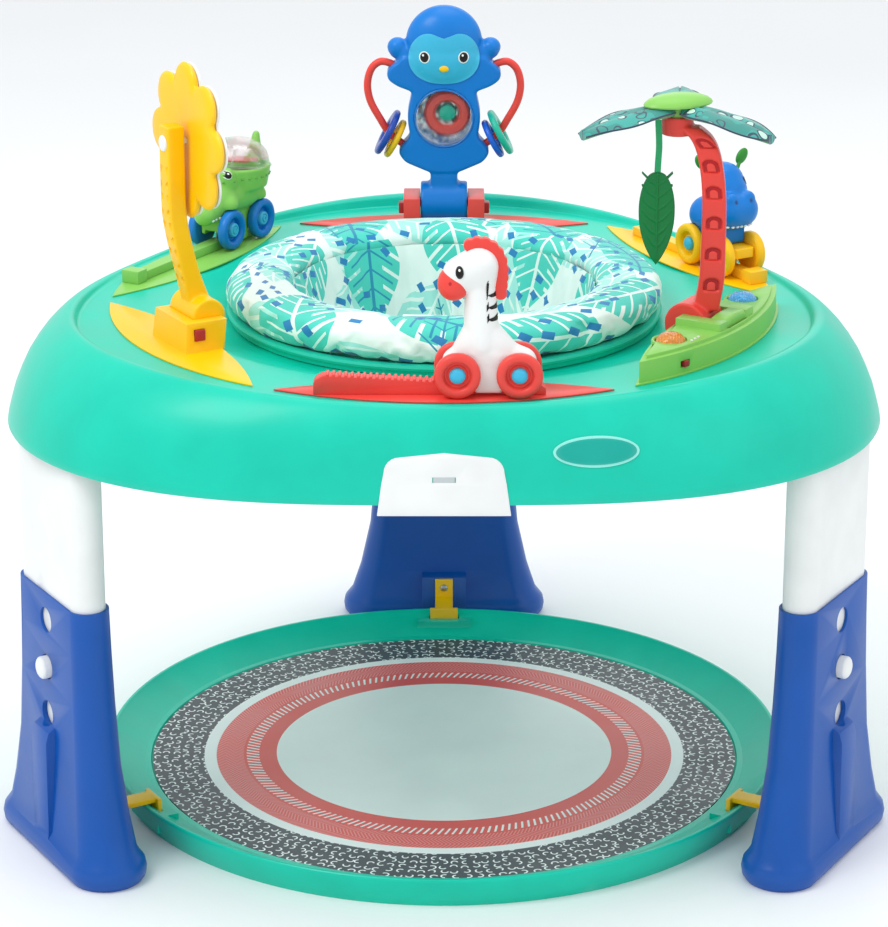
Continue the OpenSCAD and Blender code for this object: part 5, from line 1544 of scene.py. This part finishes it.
class ActivityTablePalm(bpy.types.Operator):
    """Palm with a light-up housing, padded leaves and a leaf teether on a strap"""
    bl_idname = "activity_table.palm"
    bl_label = "Palm"

    def execute(self, context):
        done = finishes()
        place = station(PALM_AT)
        refined("palm_base", done["green"], "table", "green", 1.1, 30)
        refined("palm_latch", done["red"], "palm_latch", "red", 1.4)
        refined("palm_switch", done["red"], "palm_switch", "red", 0.9)
        self.lamps(done, place)
        self.trunk(done, place)
        bm = bmesh.new()
        turn = place @ Matrix.Translation((CAP_R, 0, LEAF_Z)) @ Matrix.Rotation(radians(52), 4, "Z")
        outline = [(31 * cos(a) * (1 + 0.12 * cos(a) ** 2),
                    21 * sin(a)) for a in [2 * pi * i / 96 for i in range(96)]]
        loft(bm, [[(x * f, y * f, z) for x, y in outline] for f, z in
                  ((0.9, 0.2), (0.98, 0.5), (1.0, 1.8), (0.97, 3.6), (0.86, 6.4), (0.66, 8.9), (0.4, 10.6),
                   (0.12, 11.4))])
        barrel(bm, (0, 0, -10), (0, 0, 1), 11.4, 11.4, 21, 48)
        part(bm, "palm_cap_moulding", done["green"], "table", "green", ["palm_cap"], turn)
        self.leaves(place)
        self.teether(place)
        return {"FINISHED"}

    def lamps(self, done, place):
        for s, name, tint in ((-1, "amber", srgb("ff9a1a")), (1, "blue", srgb("39b7ff"))):
            bm = bmesh.new()
            turn = place @ Matrix.Translation((TRUNK_R - 2, s * 78, DECK_Z + 19))
            lathe(bm, [(0.005, 12.4), (5, 12.0), (9.5, 10.4), (12.6, 7.6), (14.6, 3.6), (14.9, 0.3),
                       (0.005, 0.3)], turn, 64)
            extra = {"stands_for": ["palm_lamps"]} if s < 0 else {}
            part(bm, "palm_lamp_" + name, lens_plastic("frosted_lens_" + name, tint), "table", "amber",
                 **extra)
            bm = bmesh.new()
            lathe(bm, [(15.2, 1.5), (15.2, 4.6), (16.4, 5.6), (17.8, 5.4), (18.4, 4.0), (18.4, 1.5)], turn,
                  64)
            part(bm, "palm_lamp_rim_" + name, done["green"], "table", "green")
        # mark by the switch: three small round dots
        bm = bmesh.new()
        for k in range(3):
            barrel(bm, place @ Vector((TRUNK_R + 17.5, -60 - 7 * k, DECK_Z + 25.4)), (0, 0, 1), 1.3, 1.3,
                   0.8, 20)
        part(bm, "palm_level_dots", done["white"], "table", "white")

    def trunk(self, done, place):
        bm = bmesh.new()
        barrel(bm, (TRUNK_R - 16, 0, DECK_Z + 20), (0, 1, 0), 22, 22, 40, 96)
        spine = [(286, 34), (291, 62), (292, 87), (292, 132), (290, 160), (285, 184), (277, 199), (264, 208)]
        path = smooth_path([(r, 0, DECK_Z + h) for r, h in spine], 5)
        face_out, across = Vector((0.43, -0.903, 0)), Vector((0.903, 0.43, 0))
        rings = []
        for p in path:
            wide = 12.5 - (p.z - DECK_Z) / 110
            rings.append([p + face_out * (9.5 * x) + across * (wide * y) for x, y in BOX_ROUND])
        loft(bm, rings)
        barrel(bm, (CAP_R, 0, PALM_TOP - 9), (0, 0, 1), 15, 15, 18, 64)
        low = bmesh.new()
        block(low, (200, -60, DECK_Z - 60), (360, 60, PLATE_Z + 0.05))
        bore = bmesh.new()
        barrel(bore, (CAP_R, 0, PALM_TOP), (0, 0, 1), 11.6, 11.6, 30, 64)
        grooves = bmesh.new()
        insets = []
        for height in (60, 90, 120, 149, 174, 195):
            centre = min(path, key=lambda p: abs(p.z - DECK_Z - height)).copy()
            centre.z = DECK_Z + height
            above = min(path, key=lambda p: abs(p.z - DECK_Z - height - 9))
            lean = (above - centre).x / 9
            rise = (Vector((0, 0, 1)) + across * 0.9 * lean).normalized()
            matrix = Matrix.Translation(centre + face_out * 9.5) @ Matrix((
                (across.x, rise.x, face_out.x, 0), (across.y, rise.y, face_out.y, 0),
                (across.z, rise.z, face_out.z, 0), (0, 0, 0, 1)))
            wide = 7.8
            arch = [(wide, -6), (wide, 2)] + [(wide * cos(t), 2 + 5 * sin(t)) for t in
                                                (radians(a) for a in range(20, 180, 20))] + [(-wide, 2),
                                                                                             (-wide, -6)]
            slab(grooves, arch, -2.8, 12, matrix)
            insets.append((matrix, arch))
        body = fused(bm, 1.0, 3, [low, bore, grooves])
        part(body, "palm_trunk_moulding", done["coral"], "table", "coral", ["palm_trunk"], place)
        # painted shade: darker coral inlays on the groove floors, round each tongue
        bm = bmesh.new()
        for matrix, arch in insets:
            slab(bm, [(x * 0.95, y * 0.93) for x, y in arch], -3.8, -2.2, matrix, 0.5)
        part(bm, "palm_trunk_groove_painted_shade", done["deep_coral"], "table", "coral", matrix=place)
        bm = bmesh.new()
        for matrix, arch in insets:
            slab(bm, [(x * 0.5, y * 0.62 - 1.2) for x, y in arch], -3, -0.6, matrix, 0.8)
        part(bm, "palm_trunk_tongues", done["coral"], "table", "coral", matrix=place)
        # arched wall of the housing in front of the trunk's foot
        bm = bmesh.new()
        wall = [(-36.5, 2), (38.5, 2), (38.5, 22)] + [(1 + 37.5 * cos(t), 22 + 12 * sin(t)) for t in
                                                          (radians(a) for a in range(15, 180,
                                                                                     15))] + [(-36.5, 22)]
        slab(bm, wall, 0, 19, Matrix(((0, 0, 1, 299), (1, 0, 0, 0), (0, 1, 0, DECK_Z), (0, 0, 0, 1))), 3.5,
             4)
        slot = bmesh.new()
        block(slot, (290, -44, DECK_Z + 7), (305, -26, DECK_Z + 26))
        part(fused(bm, 1.1, 4, [slot]), "palm_housing_wall", done["green"], "table", "green", matrix=place)

    def leaves(self, place):
        """Three stuffed leaves, each a quilted lens that droops towards its tip"""
        material = leaf_print("printed_satin_leaf", srgb("0f9f93"), srgb("04384e"), srgb("bfe6d4"))
        under = soft_cloth("woven_polyester_leaf_back", srgb("1c8f4a"))
        length, sag = 96, (17, 17, 4)
        for k, direction in enumerate((-130, 0, 115)):
            turn = place @ Matrix.Translation((CAP_R, 0, LEAF_Z)) @ Matrix.Rotation(radians(direction), 4,
                                                                                    "Z")
            rings = []
            n, m = 30, 36
            for i in range(n + 1):
                t = i / n
                s = 8 + (length - 8) * t
                half = 3 + 21.5 * max(0.0, sin(radians(16 + 156 * t))) ** 0.62
                drop = -4.4 - sag[k] * (s / length) ** 2
                wave = 1.0 * sin(9 * t + k)
                ring = []
                for j in range(m):
                    a = 2 * pi * j / m
                    across = cos(a)
                    puff = (0.9 + 6.0 * (1 - abs(across) ** 2.6)) * (1 - 0.3 * t)
                    crease = 1.5 * max(0, 1 - abs(across) / 0.16) + 0.5 * noise.noise(Vector((s * 0.06,
                            across * 2, k * 7)))
                    height = abs(sin(a)) ** 0.8 * puff - crease * (sin(a) > 0) - 0.3 * crease
                    z = (1 if sin(a) >= 0 else -1) * max(0.45, height)
                    ring.append((s, half * across, drop + z + wave * across))
                rings.append(ring)
            bm = bmesh.new()
            loft(bm, rings)
            uv = bm.loops.layers.uv.new("print")
            for face in bm.faces:
                for loop in face.loops:
                    loop[uv].uv = (loop.vert.co.x * MM + 0.1 * k, loop.vert.co.y * MM)
            leaf = part(bm, "palm_leaf_%d" % k, material, "table", "leaf_fabric", ["palm_leaves"], turn, 70)
            leaf.data.materials.append(under)
            for polygon in leaf.data.polygons:
                polygon.material_index = 1 if polygon.normal.z < -0.25 else 0
            bm = bmesh.new()
            edge = [(8 + (length - 8) * i / n, (3 + 21.5 * max(0.0, sin(radians(16 + 156 * i / n))) ** 0.62),
                     -4.4 - sag[k] * ((8 + (length - 8) * i / n) / length) ** 2) for i in range(n + 1)]
            for s in (-1, 1):
                pipe(bm, [(x, s * y, z + s * sin(9 * i / n + k)) for i, (x, y, z) in enumerate(edge)], 0.9,
                     10)
            piping = part(bm, "palm_leaf_piping_%d" % k,
                          soft_cloth("woven_polyester_piping_%d" % k, srgb("05324a")),
                          "table", "leaf_fabric", matrix=turn)

    def teether(self, place):
        """Soft ribbed leaf on a woven strap, hanging from an eye under the cap"""
        hang = Matrix.Translation(place @ Vector((240, -16, LEAF_Z - 12.5)))
        front = hang @ Matrix(((1, 0, 0, 0), (0, 0, -1, 0), (0, 1, 0, 0), (0, 0, 0, 1)))
        rubber = moulded("moulded_thermoplastic_rubber_leaf", srgb("0a7a3c"), 0.45, 0.02, 0.8)
        bm = bmesh.new()
        side = [(3, -50), (8, -53), (13, -62), (16.2, -75), (17, -89), (15.8, -103), (12, -118), (6, -131),
                (0, -139.5)]
        right = [(p.x, p.y) for p in smooth_path([(x, z, 0) for x, z in side], 4)]
        outline = right + [(-x, z) for x, z in reversed(right[:-1])]
        slab(bm, outline, -2.6, 2.6, rounding=2.2, segments=4)
        for face_side in (-1, 1):
            for s in (-1, 1):
                for k in range(6):
                    y = -62 - 12 * k
                    reach = 14.5 - 0.66 * max(0, k - 2) ** 2
                    pipe(bm, [(0, y, face_side * 2.5), (s * reach * 0.5, y + 4.5, face_side * 2.6),
                              (s * reach, y + 12, face_side * 2.2)], 0.9, 10)
            pipe(bm, [(0, -50, face_side * 2.6), (0, -95, face_side * 2.7), (0, -134, face_side * 2.3)],
                 1.2, 12,
                 about=Vector((1, 0, 0)))
        body = fused(bm, 0.6, 2)
        leaf = part(body, "palm_teether_leaf", rubber, "palm_teether", "teether", ["palm_teether"], front)
        bm = bmesh.new()
        path = [(0, 0), (0, -4), (0.6, -14), (1.0, -26), (0.4, -40), (0, -53), (0, -65)]
        rings = []
        for p in smooth_path([(x, z, 0) for x, z in path], 4):
            rings.append([(p.x + w * 3, p.y, p.x * 0.8 + d * 0.55) for w, d in BOX_ROUND])
        loft(bm, rings)
        strap = part(bm, "palm_teether_strap", soft_cloth("woven_polyester_webbing", srgb("27a86a")),
                     "palm_teether",
                     "leaf_fabric", matrix=front)


LEAF_Z = span("palm_cap")[0].z + 21.7


# ---------------------------------------------------------------- badge

class ActivityTableBadge(bpy.types.Operator):
    """Plain raised oval on the skirt, to the right of the front cover"""
    bl_idname = "activity_table.badge"
    bl_label = "Badge"

    def execute(self, context):
        table = bmesh.new()
        table.from_mesh(bpy.data.objects["table_moulding"].data)
        bmesh.ops.scale(table, vec=(1 / MM,) * 3, verts=table.verts)
        aim = Matrix.Rotation(radians(-69), 4,
                              "Z") @ Matrix.Translation((460, 0, SKIRT_Z + 47)) @ Matrix.Rotation(
            radians(90), 4, "Y") @ Matrix.Rotation(radians(90), 4, "Z")
        for name, w, h, lift, material in (
                ("badge_border", 38, 13.5, 0.4, moulded("moulded_plastic_badge_border", srgb("8fe5d8"))),
                ("badge_field", 35.5, 11.2, 0.9, moulded("moulded_plastic_badge_field", srgb("0aa596")))):
            decal(table, oval(w, h, 64), aim, name, material, "table", "teal", lift=lift, thick=1.2, cuts=3)
        table.free()
        return {"FINISHED"}


# ---------------------------------------------------------------- panel and run

class ActivityTablePanel(bpy.types.Panel):
    """Sidebar panel of the activity table"""
    bl_idname = "VIEW3D_PT_activity_table"
    bl_label = "Activity table"
    bl_space_type = "VIEW_3D"
    bl_region_type = "UI"
    bl_category = "Activity table"

    def draw(self, context):
        scene = context.scene
        for settings in (scene.activity_table_colours, scene.activity_table_fabric,
                         scene.activity_table_mat):
            box = self.layout.box()
            for name in settings.__annotations__:
                box.prop(settings, name)
        column = self.layout.column(align=True)
        for operator in OPERATORS:
            column.operator(operator.bl_idname, text=operator.bl_label)


GROUPS = (MouldedColours, FabricSettings, MatSettings)
OPERATORS = (ActivityTableStudio, ActivityTableTop, ActivityTableLegs, ActivityTableFootTray,
             ActivityTableSeat,
             ActivityTableTracks, ActivityTableZebra, ActivityTableCrocodile, ActivityTableHippo,
             ActivityTableMonkey,
             ActivityTableFlower, ActivityTablePalm, ActivityTableBadge)


def register():
    for cls in GROUPS + OPERATORS + (ActivityTablePanel,):
        bpy.utils.register_class(cls)
    bpy.types.Scene.activity_table_colours = PointerProperty(type=MouldedColours)
    bpy.types.Scene.activity_table_fabric = PointerProperty(type=FabricSettings)
    bpy.types.Scene.activity_table_mat = PointerProperty(type=MatSettings)


def unregister():
    del bpy.types.Scene.activity_table_colours
    del bpy.types.Scene.activity_table_fabric
    del bpy.types.Scene.activity_table_mat
    for cls in reversed(GROUPS + OPERATORS + (ActivityTablePanel,)):
        bpy.utils.unregister_class(cls)


def main():
    register()
    calls = bpy.ops.activity_table
    for step in (calls.studio, calls.table_top, calls.legs, calls.foot_tray, calls.seat, calls.tracks,
                 calls.zebra,
                 calls.crocodile, calls.hippo, calls.monkey, calls.flower, calls.palm, calls.badge):
        step()


if __name__ == "__main__":
    main()
